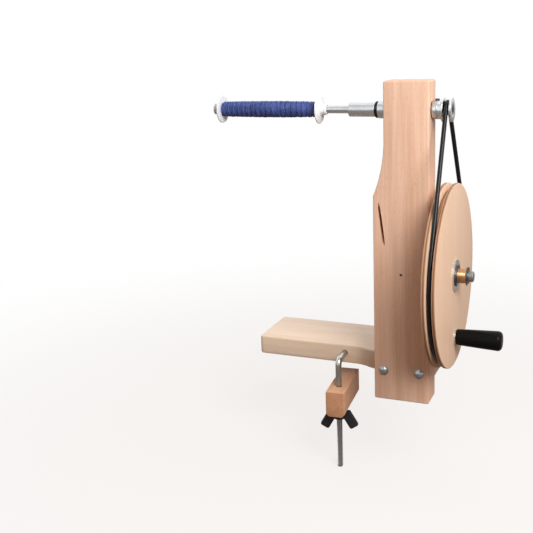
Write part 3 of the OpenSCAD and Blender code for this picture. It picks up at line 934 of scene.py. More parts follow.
def drill(radius: float, depth: float, place: Matrix, segments: int = 48) -> bpy.types.Object:
    """A cutter: a cylinder along its local Z axis, centred on the place.

    Args:
        radius: Radius of the cut.
        depth: Length of the cutter.
        place: Where its middle goes and how it is turned.
        segments: Number of sides.

    Returns:
        The cutter, for carve to use up.
    """
    work = Workpiece()
    bmesh.ops.create_cone(
        work.bm, cap_ends=True, segments=segments, radius1=radius, radius2=radius, depth=depth,
        matrix=place,
    )
    return work.to_object("cutter")


def evaluated(piece: bpy.types.Object) -> bpy.types.Mesh:
    """What a piece's curve or modifiers make, as a new mesh."""
    bpy.context.view_layer.update()
    ready = piece.evaluated_get(bpy.context.evaluated_depsgraph_get())
    return bpy.data.meshes.new_from_object(ready)


def carve(piece: bpy.types.Object, cutters: Sequence[bpy.types.Object]) -> None:
    """Cuts shapes out of a piece and removes the cutters.

    Args:
        piece: The piece that is cut.
        cutters: The shapes that are taken away.
    """
    for cutter in cutters:
        cut = piece.modifiers.new("cut", "BOOLEAN")
        cut.operation = "DIFFERENCE"
        cut.solver = "EXACT"
        cut.object = cutter
    mesh = evaluated(piece)
    piece.modifiers.clear()
    piece.data = mesh
    for cutter in cutters:
        bpy.data.meshes.remove(cutter.data)
    soften(piece)


def middle(node: str) -> Vector:
    """The middle of a CAD node's box."""
    low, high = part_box(node)
    return (low + high) / 2


def turned_span(node: str) -> Triple:
    """Where a turned CAD node starts and ends along X, and its radius."""
    low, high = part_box(node)
    return low.x, high.x, (high.z - low.z) / 2


class Shop:
    """Holds the materials and hands each piece to its body."""

    def __init__(self, nodes: Mapping[str, bpy.types.Object]) -> None:
        """Makes every material once.

        Args:
            nodes: The CAD nodes by name.
        """
        self.nodes = nodes
        self.materials = {name: finish.make() for name, finish in FINISHES.items()}

    def fit(self, piece: bpy.types.Object, body: str, finish: str, *stands_for: str) -> None:
        """Gives a new piece its finish, its body and the nodes that it replaces.

        Args:
            piece: The finished object.
            body: The CAD body that it rides on.
            finish: The name of its finish.
            stands_for: The CAD nodes that it replaces.
        """
        piece.data.materials.clear()
        piece.data.materials.append(self.materials[finish])
        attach(piece, body)
        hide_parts(*stands_for)
        LOG.info("piece %s on %s, finish %s", piece.name, body, finish)

    def dress_nodes(self) -> None:
        """Gives every CAD node that shows as it is its finish."""
        for name, finish in NODE_FINISHES.items():
            slots = self.nodes[name].data.materials
            slots.clear()
            slots.append(self.materials[finish])
            LOG.info("node %s, finish %s", name, finish)


@dataclass
class Shafts:
    """The three axes along X, and the belt's spans that several pieces share."""

    axis_y: float
    spindle_z: float
    axle_z: float
    handle_z: float
    pulley_plane: float
    wheel_plane: float
    belt_r: float = 2 * MM
    cad_belt_sides: int = 10
    pulley_pitch: float = 7 * MM
    wheel_pitch: float = 80.5 * MM
    groove_r: float = 2.15 * MM
    groove_half: float = 2.85 * MM
    groove_lip: float = 0.35 * MM
    groove_steps: int = 8

    @classmethod
    def measured(cls) -> "Shafts":
        """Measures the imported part.

        Returns:
            The axes, and the planes of the two grooves.
        """
        spindle, axle = middle("spindle_shaft"), middle("wheel_axle")
        low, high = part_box("drive_belt")
        reach = cls.belt_r * math.cos(math.pi / cls.cad_belt_sides)
        heights = (spindle.z, axle.z, middle("handle_grip").z)
        return cls(spindle.y, *heights, low.x + reach, high.x - reach)

    @property
    def spindle(self) -> Matrix:
        """Place of a piece turned about the spindle."""
        return at(0, self.axis_y, self.spindle_z)

    @property
    def axle(self) -> Matrix:
        """Place of a piece turned about the wheel's axle."""
        return at(0, self.axis_y, self.axle_z)

    @property
    def handle(self) -> Matrix:
        """Place of a piece turned about the handle's pin."""
        return at(0, self.axis_y, self.handle_z)

    def groove(self, plane: float, rim: float, pitch: float) -> list[Corner]:
        """Profile of a belt groove.

        Args:
            plane: Where its middle lies along X.
            rim: Radius at which the groove opens.
            pitch: Radius of the belt's middle line.

        Returns:
            The corners from the left lip to the right lip.
        """
        angles = [math.pi * i / self.groove_steps for i in range(self.groove_steps + 1)]
        return [
            Corner(plane - self.groove_half, rim, self.groove_lip),
            *(
                Corner(plane - self.groove_r * math.cos(a), pitch - self.groove_r * math.sin(a))
                for a in angles
            ),
            Corner(plane + self.groove_half, rim, self.groove_lip),
        ]


@dataclass
class SubAssembly:
    """Pieces that belong together, with the shop and the shafts that they need."""

    shop: Shop
    shafts: Shafts

    def build(self) -> None:
        """Makes and fits every piece."""
        raise NotImplementedError


@dataclass
class Timber(SubAssembly):
    """The base plate and the post."""

    base_edge: float = 1.7 * MM
    base_corner: float = 4 * MM
    setback: float = 8 * MM
    sweep_mid: float = 24.5 * MM
    sweep_half: float = 6.5 * MM
    sweep_ease: float = 6.6 * MM
    leg_socket: float = 3.25 * MM
    leg_cut: float = 60 * MM
    post_edge: float = 1.1 * MM
    post_corner: float = 1.5 * MM
    neck_w: float = 42 * MM
    neck_z: float = 232 * MM
    flare_h: float = 53 * MM
    flare_steps: int = 14
    kerf_l: float = 42 * MM
    kerf_w: float = 2.6 * MM
    kerf_depth: float = 6 * MM
    kerf_inset: float = 8 * MM
    kerf_steps: int = 160
    tooth_h: float = 1.6 * MM
    tooth_root: float = 0.85
    tooth_tip: float = 0.2
    pin_hole: float = 1.5 * MM
    pin_cut: float = 12 * MM
    pin_sides: int = 24

    def build(self) -> None:
        """Makes and fits both pieces."""
        self.shop.fit(self.base(), "frame", "base_beech", "base_plate")
        self.shop.fit(self.post(), "frame", "post_beech", "post")

    def base(self) -> bpy.types.Object:
        """The base plate, whose front edge sweeps out to the post.

        Returns:
            The finished object.
        """
        low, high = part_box("base_plate")
        front = low.y + self.setback
        corners = [
            (low.x, high.y, self.base_corner),
            (low.x, front, self.base_corner),
            (self.sweep_mid - self.sweep_half, front, self.sweep_ease),
            (self.sweep_mid + self.sweep_half, low.y, self.sweep_ease),
            (high.x, low.y, self.base_edge),
            (high.x, high.y, self.base_corner),
        ]
        work = Workpiece()
        work.outline((Vector((x, y, low.z)) for x, y, _ in corners), [e for *_, e in corners], 8)
        work.extrude(Vector((0, 0, high.z - low.z)))
        work.ease_edges(lambda edge: span(edge, Axis.Z) < WELD, self.base_edge)
        piece = work.to_object("base_board")
        hook_low, hook_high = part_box("hook_bolt")
        leg_z = hook_high.z - (hook_high.x - hook_low.x) / 2
        mouth = at(0, front, leg_z) @ turn(90, Axis.X)
        carve(piece, [drill(self.leg_socket, self.leg_cut, mouth)])
        return piece

    def post(self) -> bpy.types.Object:
        """The upright, with its neck, flare, yarn slot and bores.

        Returns:
            The finished object.
        """
        low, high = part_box("post")
        neck = high.x - self.neck_w
        step = neck - low.x
        flare_r = (step**2 + self.flare_h**2) / (2 * step)
        sweep = math.asin(self.flare_h / flare_r)
        angles = [sweep * i / self.flare_steps for i in range(self.flare_steps + 1)]
        corners = [
            (low.x, low.z, self.post_corner),
            (high.x, low.z, self.post_corner),
            (high.x, high.z, self.post_corner),
            (neck, high.z, self.post_corner),
            *(
                (neck - flare_r * (1 - math.cos(a)), self.neck_z - flare_r * math.sin(a), 0.0)
                for a in angles
            ),
        ]
        work = Workpiece()
        work.outline((Vector((x, low.y, z)) for x, z, _ in corners), [e for *_, e in corners])
        work.extrude(Vector((0, high.y - low.y, 0)))
        work.ease_edges(lambda edge: span(edge, Axis.Y) < WELD, self.post_edge)
        piece = work.to_object("post_upright")
        seat_r = turned_span("bearing_outer_rings")[2]
        neck_bore = at((neck + high.x) / 2, 0, 0) @ self.shafts.spindle @ turn(90, Axis.Y)
        pin = middle("axle_lock_pin")
        pin_place = at(pin.x, low.y, pin.z) @ turn(90, Axis.X)
        cutters = [
            drill(seat_r, self.neck_w * OVERCUT, neck_bore),
            drill(self.pin_hole, self.pin_cut, pin_place, self.pin_sides),
            self.saw(low),
        ]
        carve(piece, cutters)
        return piece

    def saw(self, low: Vector) -> bpy.types.Object:
        """The round saw that cuts the yarn slot, with a pointed rim.

        Args:
            low: The post's lowest corner.

        Returns:
            The saw as a cutter.
        """
        radius = (self.kerf_l**2 / 4 + self.kerf_depth**2) / (2 * self.kerf_depth)
        half = self.kerf_w / 2
        inner = radius - self.kerf_depth
        side = [
            (half, inner / 2),
            (half, inner),
            (half * self.tooth_root, radius - self.tooth_h),
            (half * self.tooth_tip, radius),
        ]
        corners = [Corner(-x, r) for x, r in side]
        corners += [Corner(x, r) for x, r in reversed(side)]
        place = at(low.x + self.kerf_inset, low.y - inner, SLOT_Z) @ turn(-SLOT_LEAN, Axis.Y)
        return turned(corners, place, self.kerf_steps).to_object("cutter")


@dataclass
class BeltDrive(SubAssembly):
    """The wheel with its bush, the pulley and the belt that joins them."""

    wheel_edge: float = 0.7 * MM
    wheel_steps: int = 180
    nut_recess: float = 6.05 * MM
    bush_r: float = 6.7 * MM
    bush_bore: float = 5.05 * MM
    bush_edge: float = 0.4 * MM
    bush_ease: float = 0.2 * MM
    ring_pitch: float = 0.86 * MM
    ring_depth: float = 0.14 * MM
    ring_ease: float = 0.1 * MM
    clip_groove: float = 0.7 * MM
    hub_r: float = 8.5 * MM
    hub_ease: float = 1.2 * MM
    line_depth: float = 0.45 * MM
    line_share: float = 0.56
    seat_r: float = 3 * MM
    lip_r: float = 4.6 * MM
    lip_t: float = 0.5 * MM
    flange_t: float = 1.8 * MM
    flange_edge: float = 0.45 * MM
    screw_head: float = 4.5 * MM
    screw_sink: float = 2.6 * MM
    screw_ease: float = 0.15 * MM
    belt_sides: int = 20
    pulley_steps: int = 24
    belt_steps: int = 96
    belt_crisp: float = 60

    def build(self) -> None:
        """Makes and fits the four pieces."""
        self.shop.fit(self.wheel(), "wheel", "wheel_ply", "drive_wheel")
        self.shop.fit(self.bush(), "wheel", "turned_bronze", "wheel_bush")
        self.shop.fit(self.pulley(), "spindle", "bright_zinc", "pulley")
        self.shop.fit(self.belt(), "frame", "belt_rubber", "drive_belt")

    def wheel(self) -> bpy.types.Object:
        """The grooved wheel.

        Returns:
            The finished object.
        """
        start, end, radius = turned_span("drive_wheel")
        # A hair inside the CAD box, so that rounding doesn't take the rim past it
        rim = radius - WELD
        corners = [
            Corner(start, self.bush_r),
            Corner(start, rim, self.wheel_edge),
            *self.shafts.groove(self.shafts.wheel_plane, rim, self.shafts.wheel_pitch),
            Corner(end, rim, self.wheel_edge),
            Corner(end, self.bush_r),
        ]
        piece = turned(corners, self.shafts.axle, self.wheel_steps).to_object("grooved_wheel")
        nut_start, nut_end, _ = turned_span("handle_nut")
        recess = at(start, 0, 0) @ self.shafts.handle @ turn(90, Axis.Y)
        carve(piece, [drill(self.nut_recess, 2 * (nut_end - nut_start), recess)])
        return piece

    def bush(self) -> bpy.types.Object:
        """The bronze bush, with tool rings on the stub that stands out of the wheel.

        Returns:
            The finished object.
        """
        start, end, flange_r = turned_span("wheel_bush")
        clip_start, clip_end, _ = turned_span("bush_clip")
        wheel_start = turned_span("drive_wheel")[0]
        first_ring = clip_end + self.ring_pitch / 2
        rings = []
        for i in range(int((end - first_ring) / self.ring_pitch)):
            crest = first_ring + i * self.ring_pitch
            valley = crest + self.ring_pitch / 2
            rings.append(Corner(crest, self.bush_r, self.ring_ease))
            rings.append(Corner(valley, self.bush_r - self.ring_depth, self.ring_ease))
        corners = [
            Corner(start, self.bush_bore),
            Corner(start, flange_r, self.bush_edge),
            Corner(wheel_start, flange_r, self.bush_ease),
            Corner(wheel_start, self.bush_r),
            Corner(clip_start, self.bush_r),
            Corner(clip_start, self.bush_r - self.clip_groove),
            Corner(clip_end, self.bush_r - self.clip_groove),
            Corner(clip_end, self.bush_r, self.ring_ease),
            *rings,
            Corner(end, self.bush_r - self.ring_depth, self.bush_ease),
            Corner(end, self.bush_bore),
        ]
        return turned(corners, self.shafts.axle).to_object("bronze_bush")

    def pulley(self) -> bpy.types.Object:
        """The small pulley, with a fine line round its hub and a sink for its end screw.

        Returns:
            The finished object.
        """
        start, end, rim = turned_span("pulley")
        plane = self.shafts.pulley_plane
        flange = plane - self.shafts.groove_half - self.flange_t
        line = start + (flange - start) * self.line_share
        corners = [
            Corner(start, self.seat_r),
            Corner(start, self.lip_r),
            Corner(start + self.lip_t, self.lip_r),
            Corner(start + self.lip_t, self.hub_r, self.hub_ease),
            Corner(line - self.line_depth, self.hub_r),
            Corner(line, self.hub_r - self.line_depth),
            Corner(line + self.line_depth, self.hub_r),
            Corner(flange, self.hub_r),
            Corner(flange, rim, self.flange_edge),
            *self.shafts.groove(plane, rim, self.shafts.pulley_pitch),
            Corner(end, rim, self.flange_edge),
            Corner(end, self.screw_head, self.screw_ease),
            Corner(end - self.screw_sink, self.screw_head),
            Corner(end - self.screw_sink, self.seat_r),
        ]
        return turned(corners, self.shafts.spindle).to_object("belt_pulley")

    def belt(self) -> bpy.types.Object:
        """The endless round belt, tangent to the pulley and the wheel and leaning between them.

        Returns:
            The finished object.
        """
        shafts = self.shafts
        reach = shafts.wheel_pitch - shafts.pulley_pitch
        lean = math.asin(reach / (shafts.spindle_z - shafts.axle_z))
        small = Vector((shafts.pulley_plane, shafts.axis_y, shafts.spindle_z))
        large = Vector((shafts.wheel_plane, shafts.axis_y, shafts.axle_z))
        start = Matrix.Translation(small) @ turn(math.degrees(lean), Axis.X)
        start = start @ at(0, shafts.pulley_pitch, 0)
        away = Vector((0, -math.cos(lean), math.sin(lean)))
        work = Workpiece()
        first = work.add_ring(shafts.belt_r, start, self.belt_sides, False)
        ring = work.sweep(first, small, math.pi - 2 * lean, self.pulley_steps)
        ring = work.pull(ring, large - small + away * reach)
        last = work.sweep(ring, large, math.pi + 2 * lean, self.belt_steps)
        bmesh.ops.bridge_loops(work.bm, edges=first + last)
        work.close()
        return work.to_object("round_belt", self.belt_crisp)


@dataclass
class SpindleLine(SubAssembly):
    """The spindle's shaft and the collar beside the post."""

    nose_root: float = 3.7 * MM
    nose_tip: float = 3.2 * MM
    sleeve_start: float = 16.05 * MM
    sleeve_end: float = 41.05 * MM
    sleeve_r: float = 6.65 * MM
    sleeve_ease: float = 0.7 * MM
    land_r: float = 4.9 * MM
    land_ease: float = 0.3 * MM
    journal_r: float = 4 * MM
    screw_bore: float = 12 * MM
    lip_r: float = 4.6 * MM
    collar_ease: float = 0.5 * MM

    def build(self) -> None:
        """Makes and fits both pieces."""
        self.shop.fit(self.shaft(), "spindle", "turned_steel", "spindle_shaft")
        self.shop.fit(self.collar(), "spindle", "turned_steel", "spindle_collar")

    def shaft(self) -> bpy.types.Object:
        """The tapered nose, the sleeve and the journal, up to the end screw's bore.

        Returns:
            The finished object.
        """
        start, end, _ = turned_span("spindle_shaft")
        collar_start = turned_span("spindle_collar")[0]
        corners = [
            Corner(start, 0),
            Corner(start, self.nose_tip, self.sleeve_ease),
            Corner(self.sleeve_start, self.nose_root),
            Corner(self.sleeve_start, self.sleeve_r, self.sleeve_ease),
            Corner(self.sleeve_end, self.sleeve_r, self.land_ease),
            Corner(self.sleeve_end, self.land_r),
            Corner(collar_start, self.land_r),
            Corner(collar_start, self.journal_r),
            Corner(end - self.screw_bore, self.journal_r),
            Corner(end - self.screw_bore, 0),
        ]
        return turned(corners, self.shafts.spindle).to_object("tapered_spindle")

    def collar(self) -> bpy.types.Object:
        """The collar that keeps the spindle in the post.

        Returns:
            The finished object.
        """
        start, end, radius = turned_span("spindle_collar")
        corners = [
            Corner(start, self.journal_r),
            Corner(start, radius, self.collar_ease),
            Corner(end - self.collar_ease, radius, self.collar_ease),
            Corner(end, self.lip_r),
            Corner(end, self.journal_r),
        ]
        return turned(corners, self.shafts.spindle).to_object("stop_collar")


@dataclass
class Crank(SubAssembly):
    """The grip that the hand turns."""

    foot_r: float = 7.3 * MM
    foot_ease: float = 0.9 * MM
    pin_r: float = 4.05 * MM
    pin_ease: float = 0.3 * MM
    pin_share: float = 0.8
    belly_share: float = 0.55
    belly_swell: float = 0.66
    belly_ease: float = 9 * MM
    end_ease: float = 3.6 * MM
    dome: float = 0.5 * MM
    dome_r: float = 3 * MM
    dome_ease: float = 1.5 * MM

    def build(self) -> None:
        """Makes and fits the grip."""
        self.shop.fit(self.grip(), "grip", "gloss_black", "handle_grip")

    def grip(self) -> bpy.types.Object:
        """The swelling grip, hollow for its pin.

        Returns:
            The finished object.
        """
        start, end, radius = turned_span("handle_grip")
        length = end - start
        belly_r = self.foot_r + (radius - self.foot_r) * self.belly_swell
        corners = [
            Corner(start, self.pin_r, self.pin_ease),
            Corner(start, self.foot_r, self.foot_ease),
            Corner(start + length * self.belly_share, belly_r, self.belly_ease),
            Corner(end - self.dome, radius, self.end_ease),
            Corner(end, self.dome_r, self.dome_ease),
            Corner(end, 0),
            Corner(start + length * self.pin_share, 0),
            Corner(start + length * self.pin_share, self.pin_r),
        ]
        return turned(corners, self.shafts.handle).to_object("crank_grip")


@dataclass
class Clamp(SubAssembly):
    """The hook bolt, the clamp block and the wing nut."""

    rod_y: float = -54.5 * MM
    rod_r: float = 3 * MM
    rod_sides: int = 32
    rod_crisp: float = 40
    core_r: float = 2.62 * MM
    tip_share: float = 0.72
    bend_r: float = 6.5 * MM
    bend_steps: int = 14
    leg_z: float = 10.5 * MM
    thread_top: float = -24 * MM
    thread_steps: int = 20
    pitch: float = 1 * MM
    ridge_half: float = 0.44
    ridge_crest: float = 0.08
    ridge_root: float = 0.1 * MM
    block_size: Triple = (18.7 * MM, 68 * MM, 26 * MM)
    block_front: float = 17.5 * MM
    block_turn: float = 5
    block_top: float = -17 * MM
    block_edge: float = 0.8 * MM
    block_room: float = 0.3 * MM
    chamfer: float = 3 * MM
    crisp: float = 30
    wing_size: Triple = (19.5 * MM, 5 * MM, 9.6 * MM)
    wing_corner: float = 2 * MM
    wing_edge: float = 1.3 * MM
    wing_root: float = 7.5 * MM
    wing_drop: float = 3.5 * MM
    wing_overlap: float = 4 * MM
    wing_trim: float = 0.2 * MM
    wing_lean: float = 60
    wing_turn: float = 14
    nut_gap: float = 0.02 * MM
    hub_h: float = 8 * MM
    hub_foot: float = 6.8 * MM
    hub_belly: float = 6.6 * MM
    hub_end: float = 5.6 * MM
    hub_steps: int = 48
    insert_r: float = 4.2 * MM

    def build(self) -> None:
        """Makes and fits the three pieces."""
        self.shop.fit(self.hook(), "hook", "rod_steel_shaded", "hook_bolt")
        self.shop.fit(self.block(), "clamp", "block_beech_shaded", "clamp_block")
        self.shop.fit(self.wing_nut(), "wing_nut", "matte_black", "wing_nut")

    def hook(self) -> bpy.types.Object:
        """The bent rod with a thread on its lower part.

        Returns:
            The finished object.
        """
        low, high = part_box("hook_bolt")
        tip_r = self.core_r * self.tip_share
        ease = self.core_r - tip_r
        stretches = [
            (ease, self.core_r / tip_r),
            (self.thread_top - low.z - ease, 1.0),
            (ease, self.rod_r / self.core_r),
            (self.leg_z - self.bend_r - self.thread_top - ease, 1.0),
        ]
        elbow = Vector((0, self.rod_y + self.bend_r, self.leg_z - self.bend_r))
        work = Workpiece()
        ring = work.add_ring(tip_r, at(0, self.rod_y, low.z), self.rod_sides, True)
        for rise, grow in stretches:
            ring = work.pull(ring, Vector((0, 0, rise)), grow)
        ring = work.sweep(ring, elbow, math.radians(-90), self.bend_steps)
        ring = work.pull(ring, Vector((0, high.y - elbow.y, 0)))
        bmesh.ops.contextual_create(work.bm, geom=ring)
        work.close()
        work.join(self.thread(low.z + 2 * ease))
        return work.to_object("threaded_hook", self.rod_crisp)

    def thread(self, bottom: float) -> bpy.types.Mesh:
        """The thread's ridge, a closed spiral round the rod.

        Args:
            bottom: Height at which the ridge starts.

        Returns:
            The ridge as a mesh.
        """
        ridge = Workpiece()
        half, crest = self.pitch * self.ridge_half, self.pitch * self.ridge_crest
        inner = self.core_r - self.ridge_root
        profile = [(inner, -half), (self.rod_r, -crest), (self.rod_r, crest), (inner, half)]
        ridge.outline(Vector((r, self.rod_y, bottom + half + z)) for r, z in profile)
        bmesh.ops.delete(ridge.bm, geom=ridge.bm.faces[:], context="FACES_ONLY")
        turns = int((self.thread_top - bottom) / self.pitch) - 1
        bmesh.ops.spin(
            ridge.bm, geom=ridge.everything(), cent=(0, self.rod_y, 0), axis=(0, 0, 1),
            dvec=(0, 0, self.pitch / self.thread_steps), angle=math.tau * turns,
            steps=turns * self.thread_steps, use_merge=False, use_duplicate=False,
        )
        bmesh.ops.holes_fill(ridge.bm, edges=ridge.bm.edges[:], sides=4)
        ridge.close()
        return ridge.to_mesh("ridge")

    def is_crisp(self, edge: BMEdge) -> bool:
        """Whether an edge is still a corner, and not a step of a rounding."""
        return edge.calc_face_angle(0.0) > math.radians(self.crisp)

    def block(self) -> bpy.types.Object:
        """The wooden jaw, chamfered below and turned a little on the rod.

        Returns:
            The finished object.
        """
        _, deep, tall = self.block_size
        bottom = self.block_top - tall
        centre_z = self.block_top - tall / 2

        def is_lower_side(edge: BMEdge) -> bool:
            """Whether an edge runs along the block's underside."""
            lowest = max(vert.co.z for vert in edge.verts) < bottom + WELD
            return lowest and span(edge, Axis.Y) > WELD

        work = Workpiece()
        work.add_box(at(0, deep / 2 - self.block_front, centre_z), self.block_size)
        work.ease_edges(is_lower_side, self.chamfer, 1)
        work.ease_edges(self.is_crisp, self.block_edge)
        work.move(at(0, self.rod_y, 0) @ turn(self.block_turn, Axis.Z))
        piece = work.to_object("clamp_jaw")
        hole_r = self.rod_r + self.block_room
        carve(piece, [drill(hole_r, tall * OVERCUT, at(0, self.rod_y, centre_z))])
        return piece

    def wing_nut(self) -> bpy.types.Object:
        """The moulded wing nut, with two drooping wings.

        Returns:
            The finished object.
        """
        work = Workpiece()
        work.add_box(at(self.wing_size[0] / 2 - self.wing_overlap, 0, 0), self.wing_size)
        work.ease_edges(lambda edge: span(edge, Axis.Y) > WELD, self.wing_corner, 4)
        work.ease_edges(self.is_crisp, self.wing_edge)
        work.move(at(self.wing_root, 0, -self.wing_drop) @ turn(self.wing_lean, Axis.Y))
        twin = bmesh.ops.duplicate(work.bm, geom=work.everything())
        bmesh.ops.rotate(
            work.bm, verts=picked(twin["geom"], BMVert), cent=(0, 0, 0),
            matrix=Matrix.Rotation(math.pi, 3, "Z"),
        )
        bmesh.ops.bisect_plane(
            work.bm, geom=work.everything(), plane_co=(0, 0, -self.wing_trim),
            plane_no=(0, 0, 1), clear_outer=True,
        )
        bmesh.ops.holes_fill(work.bm, edges=work.bm.edges[:], sides=0)
        hub = [
            Corner(0, self.insert_r),
            Corner(0, self.hub_foot, 0.5 * MM),
            Corner(self.hub_h * 0.4, self.hub_belly, 2 * MM),
            Corner(self.hub_h, self.hub_end, 0.8 * MM),
            Corner(self.hub_h, self.insert_r, 0.3 * MM),
        ]
        work.join(turned(hub, turn(90, Axis.Y), self.hub_steps).to_mesh("hub"))
        work.close()
        seat = self.block_top - self.block_size[2] - self.nut_gap
        work.move(at(0, self.rod_y, seat) @ turn(self.wing_turn, Axis.Z))
        return work.to_object("plastic_wing_nut")


@dataclass
class WoundBobbin(SubAssembly):
    """The plastic bobbin and the yarn that is wound on it."""

    hub_r: float = 5.2 * MM
    hub_l: float = 5.6 * MM
    root_t: float = 3 * MM
    root_ease: float = 0.8 * MM
    rim_t: float = 1.4 * MM
    rim_ease: float = 0.6 * MM
    barrel_r: float = 4.6 * MM
    bore_r: float = 3.8 * MM
    bore_ease: float = 0.2 * MM
    yarn_r: float = 0.55 * MM
    yarn_crisp: float = 80
    pack_r: float = 7.35 * MM
    bulge: float = 0.5 * MM
    margin: float = 0.8 * MM
    bed_gap: float = 0.05 * MM
    bed_sink: float = 0.75 * MM
    bed_ease: float = 0.4 * MM
    bed_steps: int = 64
    passes: int = 9
    turns_per_pass: int = 19
    steps_per_turn: int = 22
    wander: float = 0.42 * MM
    drift: float = 3.2 * MM

    def build(self) -> None:
        """Makes and fits the bobbin and its yarn."""
        self.shop.fit(self.bobbin(), "bobbin", "white_plastic", "bobbin")
        self.shop.fit(self.yarn(), "bobbin", "navy_yarn", "yarn_winding", "yarn_core")

    def bobbin(self) -> bpy.types.Object:
        """The turned plastic bobbin, the same at both ends.

        Returns:
            The finished object.
        """
        start, end, rim = turned_span("bobbin")
        inside = self.hub_l + self.root_t
        half = [
            (0.0, self.bore_r, self.bore_ease),
            (0.0, self.hub_r, self.rim_ease),
            (self.hub_l, self.hub_r, self.root_ease),
            (inside - self.rim_t, rim, self.rim_ease),
            (inside, rim, self.rim_ease),
            (inside, self.barrel_r, 0.0),
        ]
        corners = [Corner(start + x, r, e) for x, r, e in half]
        corners += [Corner(end - x, r, e) for x, r, e in reversed(half)]
        return turned(corners, self.shafts.spindle).to_object("plastic_bobbin")

    def yarn(self) -> bpy.types.Object:
        """The winding: many crossing passes of one strand over a full bed.

        Returns:
            The finished object.
        """
        start, end, _ = turned_span("yarn_core")
        curve = bpy.data.curves.new("strand", "CURVE")
        curve.dimensions = "3D"
        curve.bevel_depth = self.yarn_r
        curve.bevel_resolution = 1
        curve.use_fill_caps = True
        points = self.strand(start + self.margin, end - self.margin)
        spline = curve.splines.new("POLY")
        spline.points.add(len(points) - 1)
        for target, point in zip(spline.points, points):
            target.co = (*(self.shafts.spindle @ point), 1.0)
        strand = bpy.data.objects.new("yarn_strands", curve)
        bpy.context.scene.collection.objects.link(strand)
        work = self.bed(start, end)
        work.join(evaluated(strand))
        bpy.data.curves.remove(curve)
        return work.to_object("wound_yarn", self.yarn_crisp)

    def bed(self, start: float, end: float) -> Workpiece:
        """The inner layers, a plain bed under the strands.

        Args:
            start: Left end of the pack.
            end: Right end of the pack.

        Returns:
            The bed as a workpiece.
        """
        inner = self.barrel_r + self.bed_gap
        outer = self.pack_r - self.bed_sink
        corners = [
            Corner(start, inner),
            Corner(start, outer, self.bed_ease),
            Corner((start + end) / 2, outer + self.bulge),
            Corner(end, outer, self.bed_ease),
            Corner(end, inner),
        ]
        return turned(corners, self.shafts.spindle, self.bed_steps)

    def strand(self, start: float, end: float) -> list[Vector]:
        """The strand's middle line, back and forth over the bed.

        Args:
            start: Left end of the winding.
            end: Right end of the winding.

        Returns:
            The points along the strand, about the X axis.
        """
        per_pass = self.turns_per_pass * self.steps_per_turn
        points = []
        for i in range(self.passes * per_pass + 1):
            number, step = divmod(i, per_pass)
            share = step / per_pass
            way = share if number % 2 == 0 else 1 - share
            drift = self.drift * noise.noise(Vector((i * 0.013, number * 3.1, 0.0)))
            x = start + (end - start) * way + drift * math.sin(math.pi * way)
            swell = self.bulge * (1 - (2 * way - 1) ** 2)
            lumps = self.wander * noise.noise(Vector((x * 180, number * 1.7, 4.0)))
            r = self.pack_r - self.yarn_r + swell + lumps
            angle = math.tau * i / self.steps_per_turn
            points.append(Vector((x, r * math.cos(angle), r * math.sin(angle))))
        return points


@dataclass(frozen=True)
class Lamp:
    """A soft square lamp: where it hangs, the length of its side and its power in watts."""

    name: str
    place: Triple
    side: float
    power: float

    def hang(self, target: Triple) -> None:
        """Adds the lamp to the scene.

        Args:
            target: The point that it shines at.
        """
        data = bpy.data.lights.new(self.name, "AREA")
        data.size = self.side
        data.energy = self.power
        made = bpy.data.objects.new(self.name, data)
        made.location = self.place
        aim = Vector(target) - Vector(self.place)
        made.rotation_euler = aim.to_track_quat("-Z", "Y").to_euler()
        bpy.context.scene.collection.objects.link(made)


LAMPS = (
    Lamp("key", (0.63, -0.68, 0.78), 0.6, 14.5),
    Lamp("fill", (-0.5, -1.1, 0.6), 1.0, 1.7),
    Lamp("right", (1.2, -0.1, 0.5), 0.9, 2.0),
    Lamp("top", (0.2, 0.5, 1.2), 2.2, 9.5),
    Lamp("left", (-1.2, 0.5, 0.5), 1.0, 6.0),
)


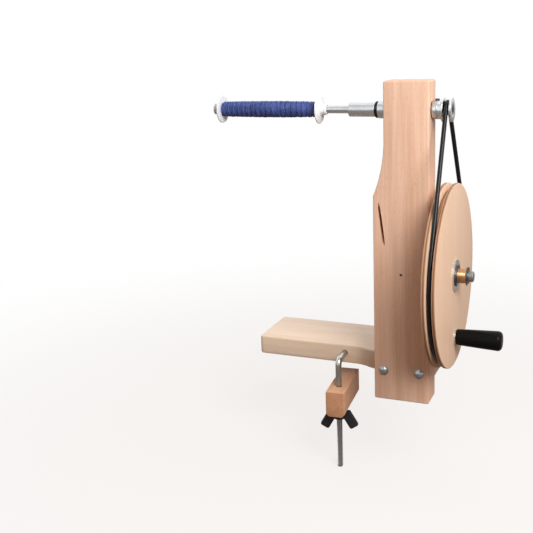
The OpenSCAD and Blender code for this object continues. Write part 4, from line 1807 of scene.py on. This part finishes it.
@dataclass
class Studio:
    """The camera, the floor, the lamps and the world."""

    camera_at: Triple = (275.5 * MM, -853.4 * MM, 331.2 * MM)
    yaw: float = 23.509
    pitch: float = -11.095
    roll: float = -1.935
    lens: float = 60.606
    shift_y: float = -0.1098
    lamp_target: Triple = (20 * MM, -50 * MM, 100 * MM)
    floor_size: float = 8.0
    floor_gap: float = 0.3 * MM
    floor_fade: tuple[float, float] = (0.15, 0.9)
    floor_gloss: float = 0.3
    shadow_share: float = 0.15
    bounce: Colour = rgb(0.2, 0.13, 0.09)
    paper: Colour = rgb(0.82, 0.81, 0.8)
    # Glow of the floor near the part, dimmer and warmer as painted shade
    near_glow_with_shade: Colour = rgb(0.95, 0.92, 0.9)
    white: Colour = rgb(1, 1, 1)
    ambient: float = 0.055
    ambient_tone: Colour = rgb(1, 0.8, 0.64)

    def build(self, lowest: float) -> None:
        """Makes the camera first, then the rest of the studio.

        Args:
            lowest: Height of the part's lowest point.
        """
        self.camera()
        self.floor(lowest - self.floor_gap)
        self.world()
        for lamp in LAMPS:
            lamp.hang(self.lamp_target)

    def camera(self) -> None:
        """Places the camera where the photograph was taken from."""
        data = bpy.data.cameras.new("camera")
        data.lens = self.lens
        data.shift_y = self.shift_y
        made = bpy.data.objects.new("camera", data)
        aim = turn(self.yaw, Axis.Z) @ turn(90 + self.pitch, Axis.X) @ turn(self.roll, Axis.Z)
        made.location = self.camera_at
        made.rotation_euler = aim.to_euler()
        bpy.context.scene.collection.objects.link(made)
        bpy.context.scene.camera = made

    @staticmethod
    def seen_directly(bench: NodeBench, in_gloss: float = 1.0) -> Signal:
        """How white the background is for a ray.

        Args:
            bench: Where the nodes go.
            in_gloss: Share of white that a glossy surface mirrors.

        Returns:
            One for rays from the camera and through glass, that share for mirrored rays, and zero
            for the rest.
        """
        mirrored = bench.ray("Is Glossy Ray") * in_gloss
        return bench.ray("Is Camera Ray").top(mirrored).top(bench.ray("Is Transmission Ray"))

    def floor(self, height: float) -> None:
        """A pale floor that keeps a soft shadow, whose glow is dimmer and warmer near the part as
        painted shade and fades to white.

        Args:
            height: Where the floor lies.
        """
        work = Workpiece()
        bmesh.ops.create_grid(
            work.bm, x_segments=1, y_segments=1, size=self.floor_size / 2,
            matrix=at(0, 0, height),
        )
        made = work.to_object("floor")
        material = bpy.data.materials.new("floor_paper")
        material.use_nodes = True
        bench = NodeBench(material.node_tree)
        tone = bench.mix(bench.ray("Is Camera Ray"), self.bounce, self.paper)
        paper = bench.node("ShaderNodeBsdfDiffuse", None, {"Color": tone})
        far = bench.rise(bench.length(bench.place()), *self.floor_fade)
        # Painted shade: the floor's glow dims and warms towards the part
        glow = bench.mix(far, self.near_glow_with_shade, self.white)
        white = bench.node("ShaderNodeEmission", None, {"Color": glow, "Strength": 1.0})
        fade = far * self.shadow_share + (1 - self.shadow_share)
        layers = {
            0: self.seen_directly(bench, self.floor_gloss) * fade,
            1: Signal(bench, paper.outputs[0]),
            2: Signal(bench, white.outputs[0]),
        }
        bench.output("ShaderNodeOutputMaterial", bench.node("ShaderNodeMixShader", None, layers))
        made.data.materials.append(material)
        made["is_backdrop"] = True

    def world(self) -> None:
        """Even warm light all round, white where it is seen."""
        world = bpy.data.worlds.new("studio")
        world.use_nodes = True
        bench = NodeBench(world.node_tree)
        seen = self.seen_directly(bench)
        strength = self.ambient + seen * (1 - self.ambient)
        tone = bench.mix(seen, self.ambient_tone, self.white)
        light = bench.node("ShaderNodeBackground", None, {"Color": tone, "Strength": strength})
        bench.output("ShaderNodeOutputWorld", light)
        bpy.context.scene.world = world


def main() -> None:
    """Builds the studio and every sub-assembly in order."""
    logging.basicConfig(level=logging.INFO, format="%(message)s")
    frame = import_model()
    cad_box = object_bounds()
    bpy.context.scene.view_settings.view_transform = "Standard"
    Studio().build(cad_box[0].z)
    shop = Shop(frame["nodes"])
    shop.dress_nodes()
    shafts = Shafts.measured()
    for sub_assembly in (Timber, BeltDrive, SpindleLine, Crank, Clamp, WoundBobbin):
        sub_assembly(shop, shafts).build()


if __name__ == "__main__":
    main()
